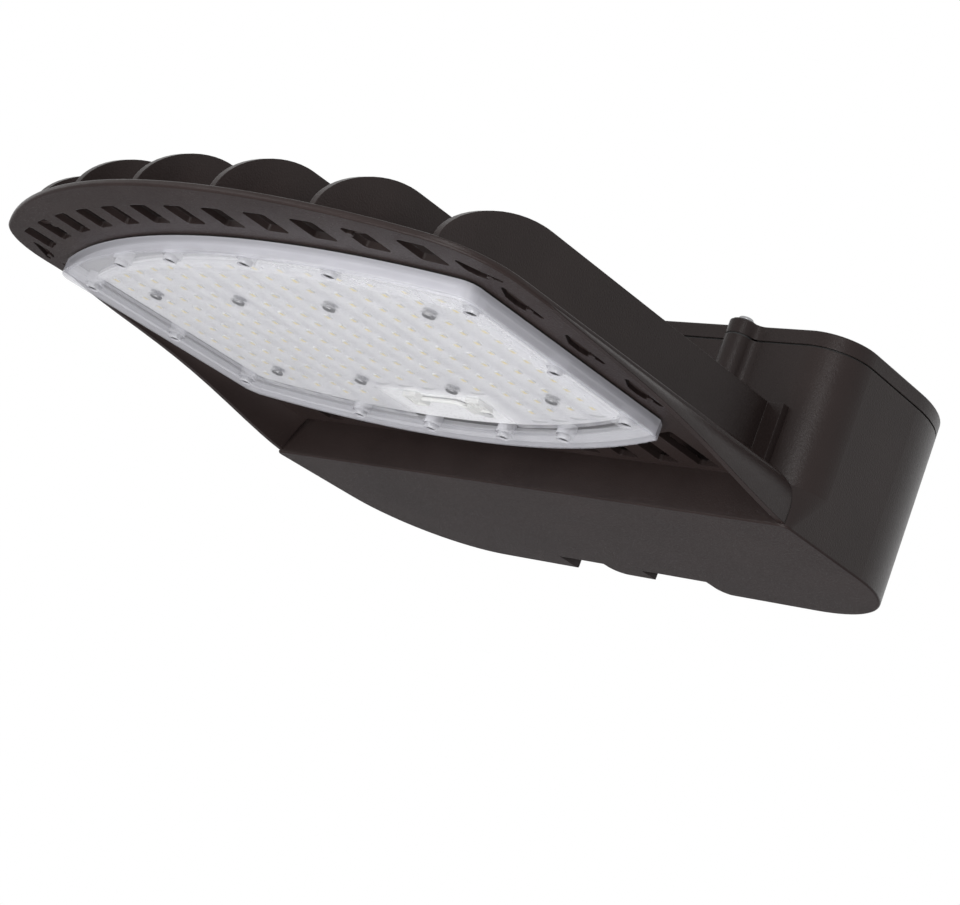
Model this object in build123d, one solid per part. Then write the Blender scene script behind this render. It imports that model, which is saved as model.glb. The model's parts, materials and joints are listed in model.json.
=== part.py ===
from build123d import *

import math
import os

# Frame: +X to the right seen from the nose, the nose towards -Y, +Z up.
# The origin is the centre of the arm pad's face, where the luminaire is bolted to its arm.

# Overall sizes
WIDTH = 360.0
BOX_DEPTH = 133.7
RIM_BELOW_ARM = 24.0
BOX_BELOW_RIM = 21.6
SEAM_ABOVE_RIM = 66.4

# Head casting: rim, deck, fins, flange and cheeks
RIM_THICKNESS = 3.0
RIM_HALF_WIDTH = 169.0
NOSE_RADIUS = 286.0
RIM_CORNER_RADIUS = 46.0
RIM_EDGE_RADIUS = 1.4
RIM_TOP_RADIUS = 1.0
FIN_PITCH = 49.5
FIN_THICKNESS = 3.6
FIN_TOP = 35.2
FIN_SETBACK = 4.5
FIN_CREST_SETBACK = 46.5
FIN_CREST_RADIUS = 228.0
FIN_NOSE_FULLNESS = 0.46
SIDE_FINS_PER_SIDE = 3
FLANGE_THICKNESS = 4.4
FLANGE_HALF_WIDTH = 159.5
CHEEK_RUN = 196.5
CHEEK_WALL = 3.0
CHEEK_INSET = 1.6
# Each station is its share of the run, of the outward flare and of the drop to the box's floor.
CHEEK_STATIONS = ((0.0, 0.0, 0.0), (0.29, 0.5, 0.22), (0.59, 0.72, 0.54), (0.88, 0.97, 0.96), (1.0, 1.0, 1.0))
# The curve across the cheek at its two ends: share of the way out from the fin, height above the rim.
CHEEK_NOSE_CURVE = ((0.0, 7.0), (0.04, 2.2), (0.68, 2.5), (1.0, 2.6))
CHEEK_BOX_CURVE = ((0.0, 14.0), (0.03, 5.5), (0.84, 9.0), (0.87, -3.0))
# How far the inner curve lies inside the outer one at each of its points: walls across, walls down.
CHEEK_INNER_STEPS = ((0, 1), (0, 1), (0.8, 1), (1, 0.5), (1, 0))

# Air slots in the rim
SLOT_WIDTH = 12.4
SLOT_FRONT_MARGIN = 18.0
SLOT_FRONT_RADIUS = 358.0
SLOT_LENS_MARGIN = 9.4
REAR_SLOT_LENS_MARGIN = 7.0
SLOT_BACK_MARGIN = 1.0
SLOT_CORNER = 1.6
FRONT_SLOTS_PER_SIDE = 6
REAR_SLOTS_PER_SIDE = 4
REAR_SLOT_WIDTH = 12.4
REAR_SLOT_SHIFT = 4.3
SIDE_SLOT_WIDTH = 7.4
SIDE_SLOT_DEPTH = 2.0
SIDE_SLOT_LENGTH = 27.5
SIDE_SLOT_FIRST = 95.8
SIDE_SLOT_PITCH = 42.4
SIDE_SLOT_COUNT = 3
SIDE_SLOT_INSET = 16.0
CORNER_SLOT_BACK = 69.5
CORNER_SLOT_LENGTH = 21.0
CORNER_SLOT_TURN = 33.0
SLOT_PIN_RADIUS = 1.6
SLOT_PIN_PLACE = 0.26
SLOT_PIN_BRIDGE = 1.4
PINNED_FRONT_SLOT = 4

# The leaf shape of a side slot in half lengths back and half widths out, round from its tail.
LEAF_PLAN = (
    (1.0, 0.8), (-1.0, 0.9), (-1.0, 0.5), (-0.4, -0.8), (0.15, -1.0), (0.5, -0.7), (0.6, 0.05), (1.0, 0.3),
)
LEAF_CORNER = 0.4

# Lens cover
LENS_HALF_WIDTH = 144.4
LENS_FRONT_RADIUS = 332.6
LENS_REAR_RADIUS = 323.0
LENS_LENGTH = 203.2
LENS_TO_NOSE = 43.6
LENS_TO_BOX = 23.2
LENS_DEPTH = 9.0
LENS_WALL = 2.4
LENS_FLANGE = 5.0
LENS_FLANGE_THICKNESS = 2.2
LENS_CORNER_RADIUS = 9.0
LENS_REAR_CHAMFER = 4.5
LENS_WELL_RADIUS = 4.6
LENS_WELL_INSET = 10.0
LENS_SCREW_HALF_ANGLES = (4.75, 13.4)
LENS_SIDE_SCREWS = (0.0, 0.52, 1.0)
LENS_SIDE_REACH = 14.0
LENS_HEAD_RECESS = 0.6
LENS_GASKET_WIDTH = 3.0
LENS_GASKET_THICKNESS = 1.0

# Light engine
PAD_HEIGHT = 1.4
BOARD_INSET = 15.6
THERMAL_PAD_THICKNESS = 0.4
BOARD_THICKNESS = 1.6
CHIP_LENGTH = 3.4
CHIP_WIDTH = 2.8
CHIP_HEIGHT = 0.7
CHIP_PITCH = 9.6
ROW_PITCH = 16.5
ROWS_PER_SIDE = 7
CHIP_EDGE_MARGIN = 8.0
OPTIC_THICKNESS = 0.8
OPTIC_RIDGE_WIDTH = 12.0
OPTIC_RIDGE_HEIGHT = 1.0
OPTIC_PEG_RADIUS = 3.4
OPTIC_WINDOW_X = (-31.0, 43.0)
OPTIC_WINDOW_LENGTH = 35.4
BOARD_SCREW_X = (32.4, 97.2)
BOARD_SCREW_TO_LENS_FRONT = 58.3
BOARD_SCREW_TO_LENS_REAR = 59.1
BOARD_HEAD_HEIGHT = 1.2
CONNECTOR_SIZE = (9.0, 12.0, 3.0)
CONNECTOR_X = (-8.0, 36.0)
CONNECTOR_TO_HOLE = 14.5

# Wire duct from the light engine to the driver box
DUCT_X = 24.75
DUCT_WIDTH = 20.0
DUCT_TO_LENS_REAR = 28.2
DUCT_HEIGHT = 26.0
DUCT_BORE_RADIUS = 5.2
DUCT_AXIS_HEIGHT = 16.5
LEAD_RADIUS = 1.1
LEAD_SPACING = 3.4
LEAD_BEND = 5.0
LEAD_RUN_TO_WALL = 10.0
LEAD_LOOP = 12.0

# Driver box and lid
BOX_WALL = 3.6
BOX_FRONT_RADIUS = 23.0
BOX_FLOOR_RADIUS = 4.0
BOX_REAR_RADIUS = 68.0
BOX_EDGE_RADIUS = 1.0
NOTCH_DEPTH = 18.0
NOTCH_HEIGHT = 5.0
NOTCH_SPANS = ((-54.0, -20.8), (7.0, 51.8))
NOTCH_RADIUS = 9.0
TOOTH_SETBACK = 4.8
LID_THICKNESS = 8.2
LID_SKIN = 3.2
LID_LAND = 9.0
LID_EDGE_RADIUS = 0.8
BOX_GASKET_THICKNESS = 0.8
BOX_GASKET_WIDTH = 2.2
BOX_GASKET_INSET = 0.9

# Captive lid screws in their bosses
BOSS_X = 119.0
BOSS_RADIUS = 7.2
BOSS_NECK_RADIUS = 6.2
BOSS_PROUD = 9.0
BOSS_RISE = 0.4
BOSS_FILLET = 5.0
BOSS_ABOVE_FINS = 2.0
LID_SCREW_RADIUS = 2.5
LID_SCREW_HEAD_RADIUS = 3.8
LID_SCREW_HEAD_HEIGHT = 2.4
LID_SCREW_HEAD_ROUND = 1.4
LID_SCREW_ENGAGEMENT = 8.0
LID_SCREW_CLEARANCE = 0.2
LID_DRIVE_RADIUS = 2.0

# Lid hinge
HINGE_X = 90.0
HINGE_SETBACK = 5.6
KNUCKLE_RADIUS = 4.8
KNUCKLE_LENGTH = 12.0
KNUCKLE_GAP = 0.4
HINGE_PIN_RADIUS = 2.0
HINGE_PIN_CLEARANCE = 0.05

# Arm pad and wire entry
ARM_PAD_THICKNESS = 10.8
ARM_PAD_WIDTH = 86.0
ARM_PAD_HEIGHT = 72.0
ARM_PAD_CORNER = 8.0
ARM_BOLT_SPACING = 60.0
ARM_BOLT_RADIUS = 4.0
ARM_BOLT_DEPTH = 14.0
WIRE_ENTRY_RADIUS = 11.0
BUSH_WALL = 3.0
BUSH_LIP = 1.6

# Screws that join the head to the box
HEAD_SCREW_X = (66.0, 136.0)
HEAD_SCREW_HEIGHT = 16.5
HEAD_SCREW_RADIUS = 3.0
HEAD_SCREW_HEAD_RADIUS = 5.0
HEAD_SCREW_HEAD_HEIGHT = 4.0
HEAD_SCREW_LENGTH = 14.0
HEAD_DRIVE_RADIUS = 2.4
HEAD_BOSS_RADIUS = 6.0
HEAD_BOSS_LENGTH = 11.0
HEAD_SEAL_RADIUS = 9.0
HEAD_SEAL_THICKNESS = 1.0
HEAD_SEAL_WIDTH = 2.6

# Electrical pieces in the box
DRIVER_SIZE = (196.0, 62.0, 38.0)
DRIVER_TO_SIDE = 138.0
DRIVER_Y = -92.0
DRIVER_TAB = 10.0
DRIVER_TAB_THICKNESS = 2.0
FLOOR_RIB_HEIGHT = 4.0
FLOOR_RIB_WIDTH = 9.0
SURGE_SIZE = (42.0, 50.0, 30.0)
DRIVER_TO_SURGE = 9.0
SURGE_Y = -95.0
TERMINAL_SIZE = (40.0, 20.0, 17.0)
TERMINAL_CENTRE = (64.0, -49.0)
EARTH_X = -60.0
EARTH_Y = -47.0
EARTH_POST_RADIUS = 5.0
EARTH_POST_HEIGHT = 8.0
EARTH_LUG_THICKNESS = 0.8
TAB_HALF_WIDTH = 9.0
FITTING_SCREW_RADIUS = 2.0
FITTING_HEAD_RADIUS = 3.6
TERMINAL_POLES = 3
TERMINAL_WIRE_LEVEL = 0.7
TERMINAL_SCREW_RADIUS = 2.2
SUPPLY_LEAD_RADIUS = 1.4
SUPPLY_LEAD_BEND = 5.0
SUPPLY_LEAD_SPACING = 4.2
SUPPLY_LEAD_LOOP = 10.0

# General fits and fasteners
SCREW_CLEARANCE = 0.3
TIGHT_CLEARANCE = 0.05
SMALL_SCREW_RADIUS = 1.5
SMALL_HEAD_RADIUS = 3.0
SMALL_HEAD_HEIGHT = 2.0
SMALL_DRIVE_RADIUS = 1.1
DRIVE_DEPTH = 1.2
WELD = 0.6

# Places that follow from the sizes above
RIM_Z = -RIM_BELOW_ARM
DECK_Z = RIM_Z + RIM_THICKNESS
BOX_FLOOR_Z = RIM_Z - BOX_BELOW_RIM
SEAM_Z = RIM_Z + SEAM_ABOVE_RIM
LID_Z = SEAM_Z + BOX_GASKET_THICKNESS
LID_TOP_Z = SEAM_Z + LID_THICKNESS
BOX_REAR_Y = -ARM_PAD_THICKNESS
BOX_FRONT_Y = BOX_REAR_Y - BOX_DEPTH
LENS_REAR_Y = BOX_FRONT_Y - LENS_TO_BOX
LENS_FRONT_Y = LENS_REAR_Y - LENS_LENGTH
NOSE_Y = LENS_FRONT_Y - LENS_TO_NOSE
BOARD_Z = RIM_Z - PAD_HEIGHT - THERMAL_PAD_THICKNESS
CHIP_Z = BOARD_Z - BOARD_THICKNESS
OPTIC_Z = CHIP_Z - CHIP_HEIGHT - SCREW_CLEARANCE
OPTIC_FACE_Z = OPTIC_Z - OPTIC_THICKNESS
FLANGE_Y = BOX_FRONT_Y - FLANGE_THICKNESS
SLOT_PITCH = FIN_PITCH / 2
DUCT_HOLE_Y = LENS_REAR_Y - DUCT_TO_LENS_REAR
DUCT_Y = DUCT_HOLE_Y - DUCT_WIDTH / 2
DUCT_AXIS_Z = RIM_Z + DUCT_AXIS_HEIGHT
HEAD_SCREW_Z = RIM_Z + HEAD_SCREW_HEIGHT
INNER_FLOOR_Z = BOX_FLOOR_Z + BOX_WALL
FIN_FACE_X = FIN_PITCH * SIDE_FINS_PER_SIDE + FIN_THICKNESS / 2
SIDE_SLOT_X = RIM_HALF_WIDTH - SIDE_SLOT_INSET
DRIVER_CENTRE = (DRIVER_TO_SIDE - WIDTH / 2, DRIVER_Y)
SURGE_X = DRIVER_CENTRE[0] + (DRIVER_SIZE[0] + SURGE_SIZE[0]) / 2 + 2 * DRIVER_TAB + DRIVER_TO_SURGE
SURGE_CENTRE = (SURGE_X, SURGE_Y)
RIB_TOP_Z = INNER_FLOOR_Z + FLOOR_RIB_HEIGHT
BOSS_Y = BOX_FRONT_Y - BOSS_PROUD + BOSS_RADIUS
BOSS_TOP_Z = LID_TOP_Z + BOSS_RISE
HINGE_Y = BOX_REAR_Y + HINGE_SETBACK
HINGE_Z = SEAM_Z - LID_SCREW_ENGAGEMENT / 2


def block(x, y, z):
    """A box given by its low and high limits on each axis."""
    size = (x[1] - x[0], y[1] - y[0], z[1] - z[0])
    return Pos((x[0] + x[1]) / 2, (y[0] + y[1]) / 2, (z[0] + z[1]) / 2) * Box(*size)


def upright(sketch, bottom, top):
    """A flat outline raised from one level to another."""
    return extrude(Pos(0, 0, bottom) * sketch, top - bottom)


def rod(radius, start, end):
    """A round bar from one point to another."""
    start = Vector(*start)
    end = Vector(*end)
    axis = Plane(origin=start, z_dir=end - start)
    return extrude(axis * Circle(radius), (end - start).length)


def both_sides(shape):
    """A shape and its mirror image on the other side of the middle."""
    return [shape, mirror(shape, about=Plane.YZ)]


def screw(place, direction, radius, length, head_radius, head_height, drive_radius, drive_depth=None):
    """A screw whose head rests at a place and whose shank runs on in a direction."""
    place = Vector(*place)
    way = Vector(*direction).normalized()
    shank = rod(radius, place, place + way * length)
    head = rod(head_radius, place - way * head_height, place)
    depth = DRIVE_DEPTH if drive_depth is None else drive_depth
    drive = rod(drive_radius, place - way * (head_height + WELD), place - way * (head_height - depth))
    return shank + head - drive


def softened(sketch, radius):
    """A flat outline with its outward corners rounded."""
    return offset(offset(sketch, -radius), radius)


def nose_line(x, inset=0.0):
    """The Y of the rim's front edge at a given X."""
    radius = NOSE_RADIUS - inset
    return NOSE_Y + NOSE_RADIUS - math.sqrt(radius**2 - x**2)


def rim_outline(side_inset=0.0, front_inset=0.0, back=BOX_FRONT_Y):
    """The head's plan: an arc for the nose, straight sides and rounded front corners."""
    nose = Pos(0, NOSE_Y + NOSE_RADIUS) * Circle(NOSE_RADIUS - front_inset)
    half = RIM_HALF_WIDTH - side_inset
    front = NOSE_Y - NOSE_RADIUS / 10
    body = Pos(0, (front + back) / 2) * Rectangle(2 * half, back - front)
    shape = nose & body
    corners = shape.vertices().sort_by(Axis.Y)[:2]
    return fillet(corners, RIM_CORNER_RADIUS - max(side_inset, front_inset))


def lens_outline(grow=0.0):
    """The lens cover's plan: two arcs and two straight sides."""
    front = Pos(0, LENS_FRONT_Y + LENS_FRONT_RADIUS) * Circle(LENS_FRONT_RADIUS + grow)
    rear = Pos(0, LENS_REAR_Y - LENS_REAR_RADIUS) * Circle(LENS_REAR_RADIUS + grow)
    half = LENS_HALF_WIDTH + grow
    middle = Pos(0, (LENS_FRONT_Y + LENS_REAR_Y) / 2) * Rectangle(2 * half, 2 * LENS_LENGTH)
    shape = front & rear & middle
    shape = fillet(shape.vertices().sort_by(Axis.Y)[:2], max(LENS_CORNER_RADIUS + grow, LENS_WALL))
    return chamfer(shape.vertices().sort_by(Axis.Y)[-2:], max(LENS_REAR_CHAMFER + grow / 2, LENS_WALL))


def box_outline(inset=0.0, front_radius=BOX_FRONT_RADIUS):
    """The driver box's plan: small front corners and large rear ones."""
    front = BOX_FRONT_Y + inset
    rear = BOX_REAR_Y - inset
    shape = Pos(0, (front + rear) / 2) * Rectangle(WIDTH - 2 * inset, rear - front)
    shape = fillet(shape.vertices().sort_by(Axis.Y)[:2], front_radius - inset)
    return fillet(shape.vertices().sort_by(Axis.Y)[-2:], BOX_REAR_RADIUS - inset)


def bossed_outline(inset=0.0):
    """The box's plan with the two screw bosses standing out of its front."""
    shape = box_outline(inset)
    for x in (-BOSS_X, BOSS_X):
        shape += Pos(x, BOSS_Y) * Circle(BOSS_RADIUS - inset)
    reach = BOSS_RADIUS - inset
    roots = []
    for corner in shape.vertices():
        from_boss = math.dist((abs(corner.X), corner.Y), (BOSS_X, BOSS_Y))
        if abs(from_boss - reach) < TIGHT_CLEARANCE:
            roots.append(corner)
    return fillet(roots, BOSS_FILLET)


def front_slots():
    """The air slots between the rim's nose and the lens, right-hand side."""
    ring = Pos(0, NOSE_Y + SLOT_FRONT_MARGIN + SLOT_FRONT_RADIUS) * Circle(SLOT_FRONT_RADIUS)
    ring -= lens_outline(SLOT_LENS_MARGIN)
    reach = (LENS_FRONT_Y + LENS_REAR_Y) / 2
    slots = []
    for number in range(FRONT_SLOTS_PER_SIDE):
        x = (number + 0.5) * SLOT_PITCH
        strip = Pos(x, (NOSE_Y + reach) / 2) * Rectangle(SLOT_WIDTH, reach - NOSE_Y)
        slots.append(softened(ring & strip, SLOT_CORNER))
    return slots


def rear_slots():
    """The air slots between the lens and the driver box, right-hand side."""
    back = FLANGE_Y - SLOT_BACK_MARGIN
    front = (LENS_FRONT_Y + LENS_REAR_Y) / 2
    slots = []
    for number in range(REAR_SLOTS_PER_SIDE):
        x = (FRONT_SLOTS_PER_SIDE - 0.5 - number) * SLOT_PITCH - REAR_SLOT_SHIFT
        strip = Pos(x, (front + back) / 2) * Rectangle(REAR_SLOT_WIDTH, back - front)
        slots.append(softened(strip - lens_outline(REAR_SLOT_LENS_MARGIN), SLOT_CORNER))
    return slots


def leaf(length):
    """The plan of a narrow slot: a point in front, a full belly and a thin tail behind."""
    points = [(back * length / 2, -out * SIDE_SLOT_WIDTH / 2) for back, out in LEAF_PLAN]
    return softened(make_face(Polyline(*points, close=True)), LEAF_CORNER)


def side_slots():
    """The narrow slots beside the lens and at its front corner, each with its place."""
    slots = []
    for number in range(SIDE_SLOT_COUNT):
        y = NOSE_Y + SIDE_SLOT_FIRST + number * SIDE_SLOT_PITCH
        slots.append((Location((SIDE_SLOT_X, y), (0, 0, 90)), SIDE_SLOT_LENGTH))
    corner = Location((SIDE_SLOT_X, NOSE_Y + CORNER_SLOT_BACK), (0, 0, 90 - CORNER_SLOT_TURN))
    slots.append((corner, CORNER_SLOT_LENGTH))
    return slots


def fin(x):
    """One upright fin with a rounded nose and a flat top that begins on an arc across the head."""
    start = nose_line(x) + FIN_SETBACK
    crest = NOSE_Y + FIN_CREST_SETBACK + FIN_CREST_RADIUS - math.sqrt(FIN_CREST_RADIUS**2 - x**2)
    top = RIM_Z + FIN_TOP
    base = DECK_Z - WELD
    back = BOX_FRONT_Y - WELD
    rise = (start, DECK_Z + FIN_NOSE_FULLNESS * (top - DECK_Z))
    nose = Bezier((start, DECK_Z), rise, (crest - FIN_NOSE_FULLNESS * (crest - start), top), (crest, top))
    rest = Polyline((crest, top), (back, top), (back, base), (start, base), (start, DECK_Z))
    face = make_face(Plane.YZ * (nose + rest))
    return Pos(x - FIN_THICKNESS / 2, 0, 0) * extrude(face, FIN_THICKNESS, dir=(1, 0, 0))


def cheek_curve(flare, drop):
    """The outer curve across the cheek at one station, as points from the fin down to the edge."""
    lower_x = RIM_HALF_WIDTH + flare * (WIDTH / 2 - CHEEK_INSET - RIM_HALF_WIDTH)
    edge_z = RIM_Z + RIM_EDGE_RADIUS / 2
    lower_z = edge_z + drop * (BOX_FLOOR_Z + BOX_EDGE_RADIUS - edge_z)
    root_x = FIN_FACE_X - WELD
    points = []
    for near, far in zip(CHEEK_NOSE_CURVE, CHEEK_BOX_CURVE):
        out, height = (low + drop * (high - low) for low, high in zip(near, far))
        points.append((root_x + out * (lower_x - root_x), RIM_Z + height))
    return points + [(lower_x, lower_z)]


def cheek_section(y, flare, drop):
    """The cheek's wall cut across at one station: the outer curve and an inner one beside it."""
    outer = cheek_curve(flare, drop)
    floor = RIM_Z + TIGHT_CLEARANCE
    inner = []
    for (x, z), (across, down) in zip(outer, CHEEK_INNER_STEPS):
        low = z - down * CHEEK_WALL
        inner.append((x - across * CHEEK_WALL - WELD, low if across == 1 else max(low, floor)))
    outer = [Vector(x, y, z) for x, z in outer]
    inner = [Vector(x, y, z) for x, z in inner]
    edges = [Bezier(*outer), Line(outer[-1], inner[-1]), Bezier(*inner[::-1]), Line(inner[0], outer[0])]
    return Face(Wire([edge for part in edges for edge in part.edges()]))


def cheek():
    """The right-hand flared skin that drops from the outer fin to the box's lower corner."""
    start = BOX_FRONT_Y + BOX_FRONT_RADIUS - CHEEK_RUN
    sections = []
    for share, flare, drop in CHEEK_STATIONS:
        sections.append(cheek_section(start + share * CHEEK_RUN, flare, drop))
    return loft(sections)


def beside_box():
    """The space the driver box takes out of the head, just clear of the box's rounded corners."""
    low = Pos(0, 0, BOX_FLOOR_Z) * box_outline(-SCREW_CLEARANCE, BOX_FLOOR_RADIUS)
    high = box_outline(-SCREW_CLEARANCE)
    shape = loft([low, Pos(0, 0, RIM_Z) * high], ruled=True) + upright(high, RIM_Z, LID_TOP_Z)
    return Pos(0, SCREW_CLEARANCE, 0) * shape


def wire_duct():
    """The closed channel that carries the wires from the deck to the box."""
    half = DUCT_WIDTH / 2
    level = (DECK_Z - WELD, RIM_Z + DUCT_HEIGHT)
    return block((DUCT_X - half, DUCT_X + half), (DUCT_Y, FLANGE_Y + WELD), level)


def rim_plate():
    """The flat rim and deck with a rounded lower edge and all the air slots."""
    plate = upright(rim_outline(), RIM_Z, DECK_Z)
    rounded = [e for e in plate.edges().group_by(Axis.Z)[0] if e.center().Y < BOX_FRONT_Y - WELD]
    plate = fillet(rounded, RIM_EDGE_RADIUS)
    rounded = [e for e in plate.edges().group_by(Axis.Z)[-1] if e.center().Y < BOX_FRONT_Y - WELD]
    plate = fillet(rounded, RIM_TOP_RADIUS)
    cuts = []
    for slot in front_slots() + rear_slots():
        cuts += both_sides(upright(slot, RIM_Z - WELD, DECK_Z + WELD))
    return plate - cuts


def slot_pin(x, y):
    """A small round pin that stands in a slot."""
    return rod(SLOT_PIN_RADIUS, (x, y, RIM_Z), (x, y, DECK_Z))


def bridged_pin():
    """The pin in one of the front slots, on a thin bridge across the slot."""
    middle = (PINNED_FRONT_SLOT + 0.5) * SLOT_PITCH
    x = middle - SLOT_WIDTH / 2 + SLOT_PIN_RADIUS / 2
    front = NOSE_Y + SLOT_FRONT_MARGIN + SLOT_FRONT_RADIUS - math.sqrt(SLOT_FRONT_RADIUS**2 - x**2)
    y = front + SLOT_WIDTH / 2
    bridge = Pos(middle, y) * Rectangle(SLOT_WIDTH + 2 * SLOT_CORNER, 2 * SLOT_PIN_RADIUS)
    return slot_pin(x, y) + upright(bridge, DECK_Z - SLOT_PIN_BRIDGE, DECK_Z)


def side_pockets():
    """The blind slots beside the lens, each round its own pin."""
    pockets = []
    for place, length in side_slots():
        pin_at = (place * Pos(length * SLOT_PIN_PLACE, 0)).position
        pocket = upright(place * leaf(length), RIM_Z - BOX_BELOW_RIM, RIM_Z + SIDE_SLOT_DEPTH)
        pockets += both_sides(pocket - slot_pin(pin_at.X, pin_at.Y))
    return pockets


def fins():
    """All the upright fins; the two outermost are the head's side walls."""
    shapes = []
    for number in range(-SIDE_FINS_PER_SIDE, SIDE_FINS_PER_SIDE + 1):
        shapes.append(fin(number * FIN_PITCH))
    return shapes


def head_screw_bosses():
    """The bosses on the flange that the head screws go into, and their holes."""
    bosses = []
    holes = []
    back = BOX_FRONT_Y + WELD
    for x in HEAD_SCREW_X:
        tip = (x, FLANGE_Y - HEAD_BOSS_LENGTH, HEAD_SCREW_Z)
        end = (x, BOX_FRONT_Y - HEAD_SCREW_LENGTH, HEAD_SCREW_Z)
        bosses += both_sides(rod(HEAD_BOSS_RADIUS, (x, FLANGE_Y + WELD, HEAD_SCREW_Z), tip))
        holes += both_sides(rod(HEAD_SCREW_RADIUS + TIGHT_CLEARANCE, (x, back, HEAD_SCREW_Z), end))
    return bosses, holes


def head_casting():
    """The one-piece head: rim, deck, fins, rear flange, cheeks and wire duct."""
    bosses, cuts = head_screw_bosses()
    flange_x = (-FLANGE_HALF_WIDTH, FLANGE_HALF_WIDTH)
    additions = [
        upright(lens_outline(-BOARD_INSET), RIM_Z - PAD_HEIGHT, DECK_Z - WELD),
        block(flange_x, (FLANGE_Y, BOX_FRONT_Y), (RIM_Z, RIM_Z + FIN_TOP)),
        wire_duct(),
    ]
    additions += both_sides(bridged_pin()) + fins() + bosses + both_sides(cheek())
    rise = (DUCT_X, DUCT_HOLE_Y, DUCT_AXIS_Z)
    cuts += side_pockets() + [beside_box()]
    cuts.append(rod(DUCT_BORE_RADIUS, (DUCT_X, DUCT_HOLE_Y, RIM_Z - LENS_DEPTH), rise))
    cuts.append(rod(DUCT_BORE_RADIUS, rise, (DUCT_X, BOX_FRONT_Y + WELD, DUCT_AXIS_Z)))
    cuts.append(duct_seal())
    for x, y in lens_screw_places() + board_screw_places():
        start = (x, y, RIM_Z - PAD_HEIGHT - WELD)
        cuts.append(rod(SMALL_SCREW_RADIUS + TIGHT_CLEARANCE, start, (x, y, DECK_Z + WELD)))
    return rim_plate() + additions - cuts


def lens_screw_places():
    """Where the lens screws stand, a little inside the lens cover's edge."""
    places = []
    front_centre = LENS_FRONT_Y + LENS_FRONT_RADIUS
    rear_centre = LENS_REAR_Y - LENS_REAR_RADIUS
    for angle in LENS_SCREW_HALF_ANGLES:
        turn = math.radians(angle)
        front = LENS_FRONT_RADIUS - LENS_WELL_INSET
        rear = LENS_REAR_RADIUS - LENS_WELL_INSET
        places.append((front * math.sin(turn), front_centre - front * math.cos(turn)))
        places.append((rear * math.sin(turn), rear_centre + rear * math.cos(turn)))
    x = LENS_HALF_WIDTH - LENS_WELL_INSET
    reach = LENS_SIDE_REACH
    first = front_centre - math.sqrt(LENS_FRONT_RADIUS**2 - LENS_HALF_WIDTH**2) + reach
    last = rear_centre + math.sqrt(LENS_REAR_RADIUS**2 - LENS_HALF_WIDTH**2) - reach
    for share in LENS_SIDE_SCREWS:
        places.append((x, first + (last - first) * share))
    return places + [(-x, y) for x, y in places]


def board_screw_places():
    """Where the board's fixing screws stand."""
    rows = (LENS_FRONT_Y + BOARD_SCREW_TO_LENS_FRONT, LENS_REAR_Y - BOARD_SCREW_TO_LENS_REAR)
    return [(side * x, y) for x in BOARD_SCREW_X for y in rows for side in (-1, 1)]


def lens_screw_seat():
    """The level that the lens screws' heads rest on, just inside the cover's face."""
    return RIM_Z - LENS_DEPTH + LENS_HEAD_RECESS + SMALL_HEAD_HEIGHT


def lens_cover():
    """The clear cover: a shallow tray with a flange and a post round each screw."""
    bottom = RIM_Z - LENS_DEPTH
    top = RIM_Z - LENS_GASKET_THICKNESS
    seat = top - LENS_FLANGE_THICKNESS
    shell = upright(lens_outline(), bottom, top)
    shell = fillet(shell.edges().group_by(Axis.Z)[0], LENS_WALL / 2)
    shell -= upright(lens_outline(-LENS_WALL), bottom + LENS_WALL, seat)
    shell -= upright(lens_outline(-LENS_FLANGE), seat - WELD, top)
    recess = lens_screw_seat()
    posts = []
    holes = []
    for x, y in lens_screw_places():
        posts.append(rod(LENS_WELL_RADIUS, (x, y, bottom + LENS_WALL / 2), (x, y, top)))
        holes.append(rod(SMALL_HEAD_RADIUS + SCREW_CLEARANCE, (x, y, bottom - WELD), (x, y, recess)))
        holes.append(rod(SMALL_SCREW_RADIUS + SCREW_CLEARANCE, (x, y, bottom), (x, y, top + WELD)))
    return shell + posts - holes


def lens_gasket():
    """The seal between the cover's flange and the rim."""
    top = RIM_Z
    bottom = RIM_Z - LENS_GASKET_THICKNESS
    inset = LENS_WALL / 2
    ring = upright(lens_outline(-inset) - lens_outline(-inset - LENS_GASKET_WIDTH), bottom, top)
    return ring


def lens_screws():
    """The screws that hold the lens cover, sunk in its posts."""
    seat = lens_screw_seat()
    length = DECK_Z - seat
    sizes = (SMALL_SCREW_RADIUS, length, SMALL_HEAD_RADIUS, SMALL_HEAD_HEIGHT, SMALL_DRIVE_RADIUS)
    return [screw((x, y, seat), (0, 0, 1), *sizes) for x, y in lens_screw_places()]


def duct_hole():
    """The round opening that the wires need through every layer below the duct."""
    end = (DUCT_X, DUCT_HOLE_Y, RIM_Z)
    return rod(DUCT_BORE_RADIUS + SCREW_CLEARANCE, (DUCT_X, DUCT_HOLE_Y, RIM_Z - LENS_DEPTH), end)


def board_holes():
    """The screw holes and the wire hole that the board and its heat pad share."""
    holes = duct_hole()
    for x, y in board_screw_places():
        holes += rod(SMALL_SCREW_RADIUS + SCREW_CLEARANCE, (x, y, RIM_Z - LENS_DEPTH), (x, y, RIM_Z))
    return holes


def thermal_pad():
    """The heat-conducting sheet under the board."""
    return upright(lens_outline(-BOARD_INSET), BOARD_Z, BOARD_Z + THERMAL_PAD_THICKNESS) - board_holes()


def led_board():
    """The white circuit board that carries the chips."""
    return upright(lens_outline(-BOARD_INSET), CHIP_Z, BOARD_Z) - board_holes()


def window_front_y():
    """Where the clear window for the wires begins."""
    return LENS_REAR_Y - BOARD_INSET - OPTIC_WINDOW_LENGTH


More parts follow.
